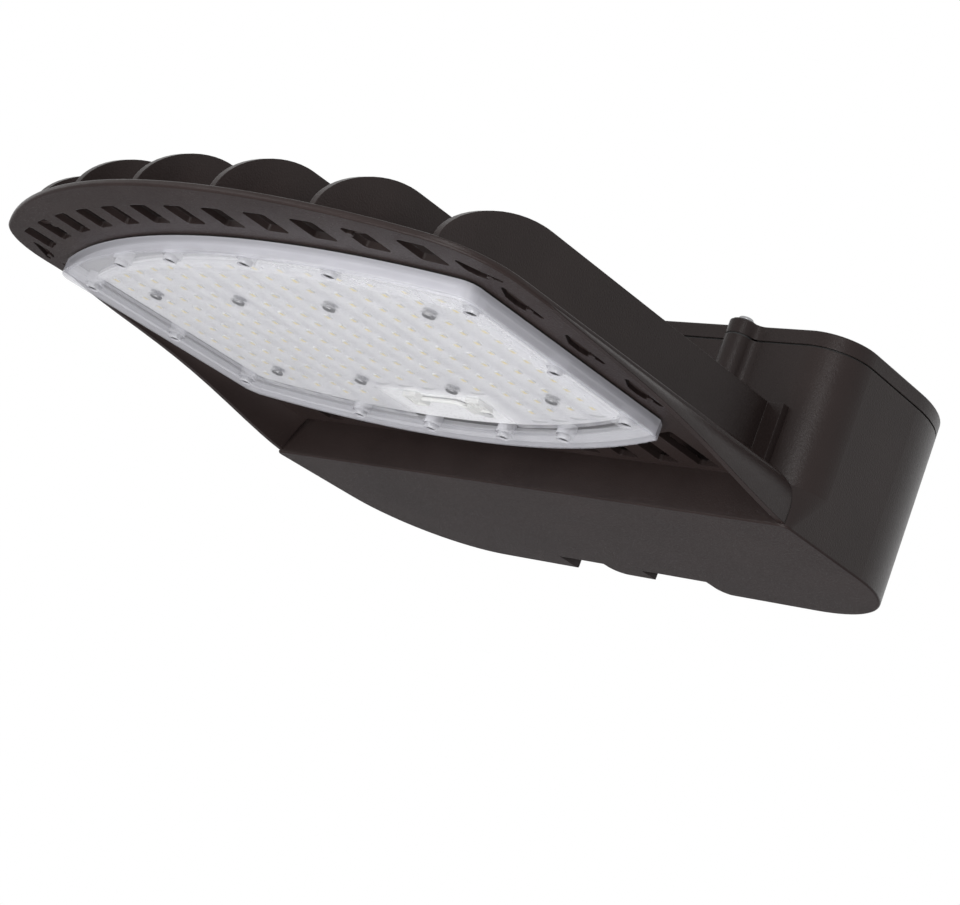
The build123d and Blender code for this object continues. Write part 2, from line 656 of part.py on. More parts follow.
def row_limits(x):
    """The front and rear end of the chip row at a given X."""
    grow = BOARD_INSET + CHIP_EDGE_MARGIN
    front = LENS_FRONT_Y + LENS_FRONT_RADIUS - math.sqrt((LENS_FRONT_RADIUS - grow) ** 2 - x**2)
    rear = LENS_REAR_Y - LENS_REAR_RADIUS + math.sqrt((LENS_REAR_RADIUS - grow) ** 2 - x**2)
    if OPTIC_WINDOW_X[0] - CHIP_EDGE_MARGIN < x < OPTIC_WINDOW_X[1] + CHIP_EDGE_MARGIN:
        rear = min(rear, window_front_y() - CHIP_EDGE_MARGIN)
    return front, rear


def row_positions():
    """The X of every chip row."""
    return [number * ROW_PITCH for number in range(-ROWS_PER_SIDE, ROWS_PER_SIDE + 1)]


def chip_places():
    """The centre of every chip, in rows that run from nose to box."""
    clear = OPTIC_PEG_RADIUS + CHIP_LENGTH
    places = []
    for x in row_positions():
        front, rear = row_limits(x)
        for step in range(int((rear - front) / CHIP_PITCH) + 1):
            y = front + step * CHIP_PITCH
            if all(math.dist((x, y), spot) > clear for spot in board_screw_places()):
                places.append((x, y))
    return places


def led_chips():
    """The light-emitting chips on the board."""
    half_x = CHIP_WIDTH / 2
    half_y = CHIP_LENGTH / 2
    z = (CHIP_Z - CHIP_HEIGHT, CHIP_Z)
    return [block((x - half_x, x + half_x), (y - half_y, y + half_y), z) for x, y in chip_places()]


def optic_ridges():
    """The long rounded ridges of the optic sheet, one along each chip row."""
    half = OPTIC_RIDGE_WIDTH / 2
    radius = (half**2 + OPTIC_RIDGE_HEIGHT**2) / (2 * OPTIC_RIDGE_HEIGHT)
    lift = OPTIC_FACE_Z - OPTIC_RIDGE_HEIGHT + radius
    level = (lift - radius, OPTIC_Z - OPTIC_THICKNESS / 2)
    ridges = []
    for x in row_positions():
        y = row_limits(x)
        bar = rod(radius, (x, y[0], lift), (x, y[1], lift))
        ridges.append(bar & block((x - half, x + half), y, level))
    return ridges


def optic_sheet():
    """The clear sheet over the chips, with one long ridge along each row."""
    sheet = upright(lens_outline(-BOARD_INSET), OPTIC_FACE_Z, OPTIC_Z) + optic_ridges()
    window_y = (window_front_y(), LENS_REAR_Y)
    cuts = [block(OPTIC_WINDOW_X, window_y, (OPTIC_FACE_Z - WELD, OPTIC_Z + WELD))]
    pegs = []
    bores = []
    for x, y in board_screw_places():
        cuts.append(rod(OPTIC_PEG_RADIUS + WELD, (x, y, OPTIC_FACE_Z - LENS_DEPTH), (x, y, OPTIC_FACE_Z)))
        pegs.append(rod(OPTIC_PEG_RADIUS, (x, y, OPTIC_FACE_Z), (x, y, CHIP_Z)))
        start = (x, y, OPTIC_FACE_Z - WELD)
        bores.append(rod(SMALL_SCREW_RADIUS + SCREW_CLEARANCE, start, (x, y, CHIP_Z + WELD)))
    return sheet - cuts + pegs - bores


def board_screws():
    """The screws that press the optic sheet and the board on the deck."""
    length = DECK_Z - OPTIC_FACE_Z
    sizes = (SMALL_SCREW_RADIUS, length, SMALL_HEAD_RADIUS, BOARD_HEAD_HEIGHT, SMALL_DRIVE_RADIUS)
    drive = BOARD_HEAD_HEIGHT / 2
    return [screw((x, y, OPTIC_FACE_Z), (0, 0, 1), *sizes, drive) for x, y in board_screw_places()]


def connectors():
    """The two wire connectors at the rear of the board."""
    half_x = CONNECTOR_SIZE[0] / 2
    half_y = CONNECTOR_SIZE[1] / 2
    y = DUCT_HOLE_Y - CONNECTOR_TO_HOLE
    z = (CHIP_Z - CONNECTOR_SIZE[2], CHIP_Z)
    return [block((x - half_x, x + half_x), (y - half_y, y + half_y), z) for x in CONNECTOR_X]


def wire(points, radius, bend):
    """An insulated wire along a route with rounded turns."""
    path = FilletPolyline(*points, radius=bend)
    start = Plane(origin=path @ 0, z_dir=path % 0)
    return sweep(start * Circle(radius), path=path)


def led_leads():
    """The two wires from the board's connectors through the duct to the driver."""
    low = CHIP_Z - CONNECTOR_SIZE[2] / 2
    inside_y = BOX_FRONT_Y + BOX_WALL + LEAD_RUN_TO_WALL
    end_x = DRIVER_CENTRE[0] + DRIVER_SIZE[0] / 2
    shapes = []
    for side, x in zip((-1, 1), CONNECTOR_X):
        duct_x = DUCT_X + side * LEAD_SPACING / 2
        edge_x = x - side * CONNECTOR_SIZE[0] / 2
        start_y = DUCT_HOLE_Y - CONNECTOR_TO_HOLE
        lane_y = inside_y - side * LEAD_SPACING / 2
        turn_x = end_x + LEAD_LOOP - side * LEAD_SPACING / 2
        end_y = DRIVER_CENTRE[1] - side * LEAD_SPACING / 2
        route = [
            (edge_x, start_y, low),
            (duct_x, start_y, low),
            (duct_x, DUCT_HOLE_Y, low),
            (duct_x, DUCT_HOLE_Y, DUCT_AXIS_Z),
            (duct_x, lane_y, DUCT_AXIS_Z),
            (turn_x, lane_y, DUCT_AXIS_Z),
            (turn_x, end_y, DUCT_AXIS_Z),
            (end_x, end_y, DUCT_AXIS_Z),
        ]
        shapes.append(wire(route, LEAD_RADIUS, LEAD_BEND))
    return shapes


def duct_seal():
    """The rubber ring between the head's flange and the box, round the duct."""
    front = (DUCT_X, BOX_FRONT_Y - HEAD_SEAL_THICKNESS, DUCT_AXIS_Z)
    back = (DUCT_X, BOX_FRONT_Y, DUCT_AXIS_Z)
    return rod(HEAD_SEAL_RADIUS, front, back) - rod(HEAD_SEAL_RADIUS - HEAD_SEAL_WIDTH, front, back)


def duct_grommet():
    """The rubber bush that lines the wire hole in the box's front wall."""
    front = (DUCT_X, BOX_FRONT_Y, DUCT_AXIS_Z)
    back = (DUCT_X, BOX_FRONT_Y + BOX_WALL, DUCT_AXIS_Z)
    lip = (DUCT_X, BOX_FRONT_Y + BOX_WALL + BUSH_LIP, DUCT_AXIS_Z)
    body = rod(DUCT_BORE_RADIUS - TIGHT_CLEARANCE, front, back)
    body += rod(DUCT_BORE_RADIUS + BUSH_LIP, back, lip)
    return body - rod(LEAD_SPACING / 2 + LEAD_RADIUS + SCREW_CLEARANCE, front, lip)


def notched_outline():
    """The box's plan near its floor, with the two finger notches in its rear edge."""
    between = (NOTCH_SPANS[0][1], NOTCH_SPANS[1][0])
    shape = Pos(sum(between) / 2, BOX_REAR_Y) * Rectangle(between[1] - between[0] + WELD, 2 * TOOTH_SETBACK)
    for low, high in NOTCH_SPANS:
        shape += Pos((low + high) / 2, BOX_REAR_Y) * Rectangle(high - low, 2 * NOTCH_DEPTH)
    plan = box_outline() - shape
    ends = (NOTCH_SPANS[0][1], NOTCH_SPANS[1][1])
    rear = BOX_REAR_Y - TOOTH_SETBACK - WELD
    rounded = [v for v in plan.vertices() if v.Y > rear and min(abs(v.X - x) for x in ends) < WELD]
    return fillet(rounded, NOTCH_RADIUS)


def arm_pad():
    """The raised face on the rear of the box that bolts to the arm."""
    plan = RectangleRounded(ARM_PAD_WIDTH, ARM_PAD_HEIGHT, ARM_PAD_CORNER)
    return extrude(Plane.XZ * plan, ARM_PAD_THICKNESS + WELD)


def knuckle(centre_x, half_length):
    """One round hinge eye round the lid's hinge line."""
    start = (centre_x - half_length, HINGE_Y, HINGE_Z)
    return rod(KNUCKLE_RADIUS, start, (centre_x + half_length, HINGE_Y, HINGE_Z))


def hinge_bore(x, clearance):
    """The hole for the hinge pin through all the eyes of one hinge."""
    reach = 2 * KNUCKLE_LENGTH
    return rod(HINGE_PIN_RADIUS + clearance, (x - reach, HINGE_Y, HINGE_Z), (x + reach, HINGE_Y, HINGE_Z))


def box_knuckles(x):
    """The two outer eyes of one hinge, on short webs from the box's rear wall."""
    shape = None
    for side in (-1, 1):
        centre = x + side * (KNUCKLE_LENGTH + KNUCKLE_GAP)
        half = KNUCKLE_LENGTH / 2
        web_z = (HINGE_Z - KNUCKLE_RADIUS, HINGE_Z)
        web = block((centre - half, centre + half), (BOX_REAR_Y - WELD, HINGE_Y), web_z)
        eye = knuckle(centre, half) + web
        shape = eye if shape is None else shape + eye
    return shape - hinge_bore(x, HINGE_PIN_CLEARANCE)


def lid_knuckle(x):
    """The middle eye of one hinge, on a web from the lid's rear edge."""
    half = KNUCKLE_LENGTH / 2
    top = LID_Z + LID_THICKNESS / 2
    web_y = (HINGE_Y - KNUCKLE_RADIUS + SCREW_CLEARANCE, HINGE_Y + KNUCKLE_RADIUS)
    web = block((x - half, x + half), web_y, (HINGE_Z, top))
    bridge = block((x - half, x + half), (BOX_REAR_Y - WELD, HINGE_Y + KNUCKLE_RADIUS), (LID_Z, top))
    return knuckle(x, half) + web + bridge - hinge_bore(x, HINGE_PIN_CLEARANCE)


def hinge_pins():
    """The two pins that the lid turns on."""
    half = 1.5 * KNUCKLE_LENGTH + KNUCKLE_GAP
    pins = []
    for x in (-HINGE_X, HINGE_X):
        pins.append(rod(HINGE_PIN_RADIUS, (x - half, HINGE_Y, HINGE_Z), (x + half, HINGE_Y, HINGE_Z)))
    return pins


def boss_bore(x, radius, bottom, top):
    """The screw hole in one boss between two levels."""
    return rod(radius, (x, BOSS_Y, bottom), (x, BOSS_Y, top))


def floor_ribs():
    """The raised strips in the box that the driver and the terminal block stand on."""
    strips = []
    depth = DRIVER_SIZE[1] / 2
    level = (INNER_FLOOR_Z - WELD, RIB_TOP_Z)
    for side in (-1, 1):
        x = DRIVER_CENTRE[0] + side * (DRIVER_SIZE[0] + DRIVER_TAB) / 2
        y = DRIVER_CENTRE[1]
        strips.append(block((x - FLOOR_RIB_WIDTH, x + FLOOR_RIB_WIDTH), (y - depth, y + depth), level))
    for centre, size in ((SURGE_CENTRE, SURGE_SIZE), (TERMINAL_CENTRE, TERMINAL_SIZE)):
        half_x = size[0] / 2 + DRIVER_TAB
        y = (centre[1] - FLOOR_RIB_WIDTH / 2, centre[1] + FLOOR_RIB_WIDTH / 2)
        strips.append(block((centre[0] - half_x, centre[0] + half_x), y, level))
    return strips


def lid_bosses():
    """The two bosses on the box's front that the lid screws go into."""
    bottom = RIM_Z + FIN_TOP + BOSS_ABOVE_FINS
    body = upright(bossed_outline(), bottom, SEAM_Z)
    near = Pos(BOSS_X, BOSS_Y) * Circle(2 * BOSS_RADIUS)
    return [body & side for side in both_sides(upright(near, bottom, SEAM_Z))]


def box_holes():
    """Every screw hole, bore and wire hole in the driver box."""
    wall = (BOX_FRONT_Y - WELD, BOX_FRONT_Y + BOX_WALL + WELD)
    depth = SEAM_Z - LID_SCREW_ENGAGEMENT - 2 * LID_SCREW_RADIUS
    holes = [rod(WIRE_ENTRY_RADIUS, (0, WELD, 0), (0, BOX_REAR_Y - BOX_WALL - WELD, 0))]
    holes.append(rod(DUCT_BORE_RADIUS, (DUCT_X, wall[0], DUCT_AXIS_Z), (DUCT_X, wall[1], DUCT_AXIS_Z)))
    for x in (-BOSS_X, BOSS_X):
        holes.append(boss_bore(x, LID_SCREW_RADIUS + LID_SCREW_CLEARANCE, depth, SEAM_Z + WELD))
    for x in (-ARM_BOLT_SPACING / 2, ARM_BOLT_SPACING / 2):
        holes.append(rod(ARM_BOLT_RADIUS, (x, WELD, 0), (x, -ARM_BOLT_DEPTH, 0)))
    for x in HEAD_SCREW_X:
        start = (x, wall[0], HEAD_SCREW_Z)
        hole = rod(HEAD_SCREW_RADIUS + SCREW_CLEARANCE, start, (x, wall[1], HEAD_SCREW_Z))
        holes += both_sides(hole)
    for x, y, top in fitting_places():
        holes.append(rod(FITTING_SCREW_RADIUS + TIGHT_CLEARANCE, (x, y, INNER_FLOOR_Z - WELD), (x, y, top)))
    return holes


def driver_box():
    """The cast box behind the head, open at the top, with the arm pad on its rear."""
    floor = Pos(0, 0, BOX_FLOOR_Z) * box_outline(0, BOX_FLOOR_RADIUS)
    foot = loft([floor, Pos(0, 0, RIM_Z) * box_outline()], ruled=True)
    foot = fillet(foot.edges().group_by(Axis.Z)[0], BOX_EDGE_RADIUS)
    foot -= upright(box_outline() - notched_outline(), BOX_FLOOR_Z - WELD, BOX_FLOOR_Z + NOTCH_HEIGHT)
    walls = upright(box_outline(), RIM_Z, SEAM_Z)
    cavity = upright(box_outline(BOX_WALL), INNER_FLOOR_Z, SEAM_Z + WELD)
    sill_y = (BOX_REAR_Y - NOTCH_DEPTH - BOX_WALL, BOX_REAR_Y)
    cavity -= block((-WIDTH / 2, WIDTH / 2), sill_y, (BOX_FLOOR_Z, BOX_FLOOR_Z + NOTCH_HEIGHT + BOX_WALL))
    post_top = (EARTH_X, EARTH_Y, INNER_FLOOR_Z + EARTH_POST_HEIGHT)
    additions = [arm_pad(), rod(EARTH_POST_RADIUS, (EARTH_X, EARTH_Y, INNER_FLOOR_Z - WELD), post_top)]
    additions += floor_ribs()
    additions += [box_knuckles(x) for x in (-HINGE_X, HINGE_X)]
    return foot + walls + lid_bosses() - cavity + additions - box_holes()


def box_lid():
    """The lid: a shallow cap with a thick edge, two screw bosses and two hinge eyes."""
    lid = upright(bossed_outline(), LID_Z, LID_TOP_Z)
    lid = fillet(lid.edges().group_by(Axis.Z)[-1], LID_EDGE_RADIUS)
    lid -= upright(box_outline(BOX_WALL + LID_LAND), LID_Z - WELD, LID_TOP_Z - LID_SKIN)
    for x in (-BOSS_X, BOSS_X):
        lid += rod(BOSS_NECK_RADIUS, (x, BOSS_Y, LID_Z + WELD), (x, BOSS_Y, BOSS_TOP_Z))
        lid -= boss_bore(x, LID_SCREW_RADIUS + LID_SCREW_CLEARANCE, LID_Z - WELD, BOSS_TOP_Z + WELD)
    for x in (-HINGE_X, HINGE_X):
        lid += lid_knuckle(x)
    return lid


def box_gasket():
    """The black seal that lies between the box and its lid."""
    inner = BOX_GASKET_INSET + BOX_GASKET_WIDTH
    ring = upright(box_outline(BOX_GASKET_INSET) - box_outline(inner), SEAM_Z, LID_Z)
    for x in (-BOSS_X, BOSS_X):
        outer = LID_SCREW_RADIUS + 2 * BOX_GASKET_WIDTH
        collar = boss_bore(x, outer, SEAM_Z, LID_Z)
        ring += collar
        ring -= boss_bore(x, LID_SCREW_RADIUS + SCREW_CLEARANCE + TIGHT_CLEARANCE, SEAM_Z, LID_Z)
    return ring


def lid_screw(x):
    """One captive screw that holds the lid, with a hexagon socket in its head."""
    length = BOSS_TOP_Z - SEAM_Z + LID_SCREW_ENGAGEMENT
    sizes = (LID_SCREW_RADIUS, length, LID_SCREW_HEAD_RADIUS, LID_SCREW_HEAD_HEIGHT, LID_DRIVE_RADIUS)
    shape = screw((x, BOSS_Y, BOSS_TOP_Z), (0, 0, -1), *sizes)
    rim = [e for e in shape.edges().group_by(Axis.Z)[-1] if e.radius > LID_SCREW_RADIUS]
    return fillet(rim, LID_SCREW_HEAD_ROUND)


def head_screws():
    """The screws that hold the head, put in from inside the box."""
    y = BOX_FRONT_Y + BOX_WALL
    length = BOX_WALL + HEAD_SCREW_LENGTH - 2 * WELD
    sizes = (HEAD_SCREW_RADIUS, length, HEAD_SCREW_HEAD_RADIUS, HEAD_SCREW_HEAD_HEIGHT, HEAD_DRIVE_RADIUS)
    places = [side * x for x in HEAD_SCREW_X for side in (-1, 1)]
    return [screw((x, y, HEAD_SCREW_Z), (0, -1, 0), *sizes) for x in places]


def wire_entry_bush():
    """The rubber bush in the arm pad that the supply wires enter through."""
    inner = BOX_REAR_Y - BOX_WALL
    body = rod(WIRE_ENTRY_RADIUS - TIGHT_CLEARANCE, (0, inner, 0), (0, -BUSH_LIP, 0))
    body += rod(WIRE_ENTRY_RADIUS + BUSH_LIP, (0, inner - BUSH_LIP, 0), (0, inner, 0))
    return body - rod(WIRE_ENTRY_RADIUS - BUSH_WALL, (0, inner - BUSH_LIP, 0), (0, 0, 0))


def on_ribs(centre, size, tab_length):
    """A block on the floor ribs with a thin screw tab at each end."""
    x = (centre[0] - size[0] / 2, centre[0] + size[0] / 2)
    y = (centre[1] - size[1] / 2, centre[1] + size[1] / 2)
    body = block(x, y, (RIB_TOP_Z, RIB_TOP_Z + size[2]))
    half = min(size[1] / 2, TAB_HALF_WIDTH)
    tab_y = (centre[1] - half, centre[1] + half)
    tab = block((x[0] - tab_length, x[1] + tab_length), tab_y, (RIB_TOP_Z, RIB_TOP_Z + DRIVER_TAB_THICKNESS))
    shape = body + tab
    for spot in (x[0] - tab_length / 2, x[1] + tab_length / 2):
        start = (spot, centre[1], RIB_TOP_Z - WELD)
        end = (spot, centre[1], RIB_TOP_Z + DRIVER_TAB_THICKNESS + WELD)
        shape -= rod(FITTING_SCREW_RADIUS + SCREW_CLEARANCE, start, end)
    return shape


def fittings():
    """Every electrical block that is screwed to the box's floor."""
    return ((DRIVER_CENTRE, DRIVER_SIZE), (SURGE_CENTRE, SURGE_SIZE), (TERMINAL_CENTRE, TERMINAL_SIZE))


def fitting_places():
    """Where the fitting screws stand, with the height of what they go into."""
    places = [(EARTH_X, EARTH_Y, INNER_FLOOR_Z + EARTH_POST_HEIGHT + WELD)]
    for centre, size in fittings():
        for side in (-1, 1):
            places.append((centre[0] + side * (size[0] + DRIVER_TAB) / 2, centre[1], RIB_TOP_Z + WELD))
    return places


def fitting_screws():
    """The screws that hold the driver, the surge protector and the terminal block."""
    seat = RIB_TOP_Z + DRIVER_TAB_THICKNESS
    length = FLOOR_RIB_HEIGHT + DRIVER_TAB_THICKNESS
    sizes = (FITTING_SCREW_RADIUS, length, FITTING_HEAD_RADIUS, SMALL_HEAD_HEIGHT, SMALL_DRIVE_RADIUS)
    return [screw((x, y, seat), (0, 0, -1), *sizes) for x, y, _ in fitting_places()[1:]]


def led_driver():
    """The driver, the long block that feeds the board."""
    return on_ribs(DRIVER_CENTRE, DRIVER_SIZE, DRIVER_TAB)


def surge_protector():
    """The surge protector beside the driver."""
    return on_ribs(SURGE_CENTRE, SURGE_SIZE, DRIVER_TAB)


def terminal_block():
    """The terminal block where the supply wires are joined, with its wire holes."""
    shape = on_ribs(TERMINAL_CENTRE, TERMINAL_SIZE, DRIVER_TAB)
    top = RIB_TOP_Z + TERMINAL_SIZE[2]
    y = TERMINAL_CENTRE[1]
    for x in terminal_poles():
        shape -= rod(TERMINAL_SCREW_RADIUS + TIGHT_CLEARANCE, (x, y, terminal_wire_z()), (x, y, top + WELD))
    return shape


def terminal_poles():
    """The X of each pole of the terminal block."""
    pitch = TERMINAL_SIZE[0] / TERMINAL_POLES
    return [TERMINAL_CENTRE[0] + (n - (TERMINAL_POLES - 1) / 2) * pitch for n in range(TERMINAL_POLES)]


def terminal_wire_z():
    """The height at which wires enter the terminal block."""
    return RIB_TOP_Z + TERMINAL_SIZE[2] * TERMINAL_WIRE_LEVEL


def terminal_screws():
    """The clamp screws on top of the terminal block."""
    top = RIB_TOP_Z + TERMINAL_SIZE[2]
    y = TERMINAL_CENTRE[1]
    screws = []
    for x in terminal_poles():
        body = rod(TERMINAL_SCREW_RADIUS, (x, y, terminal_wire_z() + WELD), (x, y, top - WELD))
        slot_x = (x - TERMINAL_SCREW_RADIUS, x + TERMINAL_SCREW_RADIUS)
        slot_y = (y - WELD / 2, y + WELD / 2)
        screws.append(body - block(slot_x, slot_y, (top - 2 * WELD, top)))
    return screws


def supply_leads():
    """The wires from the terminal block to the driver's input end."""
    poles = terminal_poles()
    z = terminal_wire_z()
    driver_end = DRIVER_CENTRE[0] - DRIVER_SIZE[0] / 2
    shapes = []
    for number, x in enumerate(poles[:2]):
        step = number * SUPPLY_LEAD_SPACING
        lane_y = TERMINAL_CENTRE[1] - TERMINAL_SIZE[1] / 2
        far_x = driver_end - LEAD_LOOP - step
        out_y = TERMINAL_CENTRE[1] + TERMINAL_SIZE[1] / 2 + SUPPLY_LEAD_LOOP - step
        end_y = DRIVER_CENTRE[1] - step
        route = [
            (x, lane_y + TERMINAL_SIZE[1], z),
            (x, out_y, z),
            (far_x, out_y, z),
            (far_x, end_y, z),
            (driver_end, end_y, z),
        ]
        shapes.append(wire(route, SUPPLY_LEAD_RADIUS, SUPPLY_LEAD_BEND))
    return shapes


def earth_screw():
    """The earth screw on its post in the box."""
    seat = INNER_FLOOR_Z + EARTH_POST_HEIGHT + EARTH_LUG_THICKNESS
    length = EARTH_POST_HEIGHT - WELD + EARTH_LUG_THICKNESS
    sizes = (FITTING_SCREW_RADIUS, length, FITTING_HEAD_RADIUS, SMALL_HEAD_HEIGHT, SMALL_DRIVE_RADIUS)
    return screw((EARTH_X, EARTH_Y, seat), (0, 0, -1), *sizes)


def earth_lug():
    """The ring tag under the earth screw."""
    bottom = INNER_FLOOR_Z + EARTH_POST_HEIGHT
    plan = Pos(EARTH_X, EARTH_Y) * Circle(EARTH_POST_RADIUS)
    tail = Pos(EARTH_X + EARTH_POST_RADIUS, EARTH_Y) * Rectangle(2 * EARTH_POST_RADIUS, EARTH_POST_RADIUS)
    plan = plan + tail - Pos(EARTH_X, EARTH_Y) * Circle(FITTING_SCREW_RADIUS + SCREW_CLEARANCE)
    return upright(plan, bottom, bottom + EARTH_LUG_THICKNESS)


def save(name, shapes):
    """Write one node, a single piece or a group of separate pieces."""
    solids = shapes if isinstance(shapes, list) else [shapes]
    parts = [solid for shape in solids for solid in shape.solids()]
    whole = parts[0] if len(parts) == 1 else Compound(children=parts)
    whole.label = name
    export_step(whole, f"parts/{name}.step")


def build():
    """Make every piece of the luminaire and write it to its own file."""
    os.makedirs("parts", exist_ok=True)
    pieces = {
        "head_casting": head_casting,
        "lens_cover": lens_cover,
        "lens_gasket": lens_gasket,
        "lens_screws": lens_screws,
        "thermal_pad": thermal_pad,
        "led_board": led_board,
        "led_chips": led_chips,
        "optic_sheet": optic_sheet,
        "board_screws": board_screws,
        "board_connectors": connectors,
        "led_leads": led_leads,
        "duct_seal": duct_seal,
        "duct_grommet": duct_grommet,
        "driver_box": driver_box,
        "head_screws": head_screws,
        "box_gasket": box_gasket,
        "box_lid": box_lid,
        "lid_hinge_pins": hinge_pins,
        "wire_entry_bush": wire_entry_bush,
        "led_driver": led_driver,
        "surge_protector": surge_protector,
        "terminal_block": terminal_block,
        "terminal_screws": terminal_screws,
        "fitting_screws": fitting_screws,
        "supply_leads": supply_leads,
        "earth_screw": earth_screw,
        "earth_lug": earth_lug,
    }
    for name, make in pieces.items():
        save(name, make())
    save("lid_screw_left", lid_screw(-BOSS_X))
    save("lid_screw_right", lid_screw(BOSS_X))


if __name__ == "__main__":
    build()
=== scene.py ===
"""The look of an outdoor LED flood light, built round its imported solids."""

import json
import logging
import math
from collections.abc import Callable
from dataclasses import dataclass, field
from enum import Enum

import bmesh
import bpy
from mathutils import Matrix, Vector


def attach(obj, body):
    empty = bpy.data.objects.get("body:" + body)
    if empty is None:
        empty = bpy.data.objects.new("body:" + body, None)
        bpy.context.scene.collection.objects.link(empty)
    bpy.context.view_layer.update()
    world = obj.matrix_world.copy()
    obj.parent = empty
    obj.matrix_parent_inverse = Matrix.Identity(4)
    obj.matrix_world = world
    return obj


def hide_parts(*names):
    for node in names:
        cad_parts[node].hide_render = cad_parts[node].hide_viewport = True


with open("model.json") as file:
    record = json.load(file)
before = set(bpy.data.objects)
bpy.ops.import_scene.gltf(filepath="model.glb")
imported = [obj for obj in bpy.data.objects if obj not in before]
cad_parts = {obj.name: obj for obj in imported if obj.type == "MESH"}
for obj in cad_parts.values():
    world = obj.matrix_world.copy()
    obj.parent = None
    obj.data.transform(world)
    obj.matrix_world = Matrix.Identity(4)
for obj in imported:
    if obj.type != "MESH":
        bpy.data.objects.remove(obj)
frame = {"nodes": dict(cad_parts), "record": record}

log = logging.getLogger("flood_light")
MM = 0.001
FACES_THAT_WAY = 0.9
SAME_PLACE = 1e-6

Socket = bpy.types.NodeSocket
Triple = tuple[float, float, float]
Value = Socket | float | tuple[float, ...]


class Drive(Enum):
    """The recess in a screw's head, by how many lobes it has."""

    HEX_SOCKET = 6
    CROSS = 4


class Facing(Enum):
    """Which way a screw's head or a chip's face looks."""

    UP = 0
    DOWN = 180


class Shader:
    """A material's node tree, with short calls that add and join its nodes."""

    def __init__(self, name: str) -> None:
        """Starts a material with an empty tree and its output node."""
        self.material = bpy.data.materials.new(name)
        self.material.use_nodes = True
        self.tree = self.material.node_tree
        self.tree.nodes.clear()
        self.output = self.add("ShaderNodeOutputMaterial")
        self.place = self.add("ShaderNodeTexCoord").outputs["Object"]

    def add(self, kind: str, **inputs: Value) -> bpy.types.Node:
        """Adds a node and sets or links its inputs.

        Args:
            kind: the node's type name.
            inputs: a socket to link from, or a plain value, for each input name.

        Returns:
            The new node.
        """
        node = self.tree.nodes.new(kind)
        for key, value in inputs.items():
            self.join(node, key.replace("_", " "), value)
        return node

    def join(self, node: bpy.types.Node, key: str | int, value: Value) -> None:
        """Links a socket to a node's input, or sets the input's value.

        Args:
            node: the node.
            key: the input's name or number.
            value: a socket to link from, or a plain value.
        """
        if isinstance(value, bpy.types.NodeSocket):
            self.tree.links.new(value, node.inputs[key])
        else:
            node.inputs[key].default_value = value

    def maths(self, operation: str, first: Value, second: Value = 0.0, third: Value = 0.0) -> Socket:
        """Works out one sum.

        Args:
            operation: the sum's name.
            first: its first value.
            second: its second value, where it has one.
            third: its third value, where it has one.

        Returns:
            The result's socket.
        """
        node = self.tree.nodes.new("ShaderNodeMath")
        node.operation = operation
        for index, value in enumerate((first, second, third)):
            self.join(node, index, value)
        return node.outputs[0]

    def noise(
        self, scale: float, detail: float = 2.0, rough: float = 0.5, stretch: Triple = (1, 1, 1)
    ) -> Socket:
        """A noise value from 0 to 1.

        Args:
            scale: cells per metre.
            detail: octaves of finer noise.
            rough: how strong the finer octaves are.
            stretch: the pattern's scale along each axis.

        Returns:
            The noise value's socket.
        """
        place = self.add("ShaderNodeMapping", Vector=self.place, Scale=stretch).outputs[0]
        node = self.add("ShaderNodeTexNoise", Vector=place, Scale=scale, Detail=detail, Roughness=rough)
        return node.outputs["Fac"]

    def spread(self, value: Value, low: float, high: float, start: float = 0.3, end: float = 0.7) -> Socket:
        """Maps a value from one range onto another.

        Args:
            value: the value.
            low: what start becomes.
            high: what end becomes.
            start: the value's lowest, which for noise is about 0.3.
            end: the value's highest, which for noise is about 0.7.

        Returns:
            The mapped value's socket.
        """
        node = self.add("ShaderNodeMapRange", Value=value)
        for key, number in (("From Min", start), ("From Max", end), ("To Min", low), ("To Max", high)):
            node.inputs[key].default_value = number
        return node.outputs["Result"]

    def blend(self, share: Value, first: Triple, second: Triple) -> Socket:
        """Mixes two colours.

        Args:
            share: how much of the second colour, from 0 to 1.
            first: the colour at 0.
            second: the colour at 1.

        Returns:
            The mixed colour's socket.
        """
        node = self.tree.nodes.new("ShaderNodeMix")
        node.data_type = "RGBA"
        self.join(node, 0, share)
        colours = [socket for socket in node.inputs if socket.type == "RGBA"]
        for socket, colour in zip(colours, (first, second)):
            socket.default_value = (*colour, 1)
        return next(socket for socket in node.outputs if socket.type == "RGBA")

    def bump(self, height: Socket, depth: float, strength: float, under: Socket | None = None) -> Socket:
        """Bends the normal by a height.

        Args:
            height: the height, from 0 to 1.
            depth: how deep 1 is, in metres.
            strength: the share of the bend that is kept.
            under: a normal to bend further.

        Returns:
            The bent normal's socket.
        """
        node = self.add("ShaderNodeBump", Height=height, Distance=depth, Strength=strength)
        if under is not None:
            self.join(node, "Normal", under)
        return node.outputs["Normal"]

    def close(self, surface: bpy.types.Node) -> bpy.types.Material:
        """Ends the tree with a shader.

        Args:
            surface: the shader's node.

        Returns:
            The finished material.
        """
        self.join(self.output, "Surface", surface.outputs[0])
        return self.material


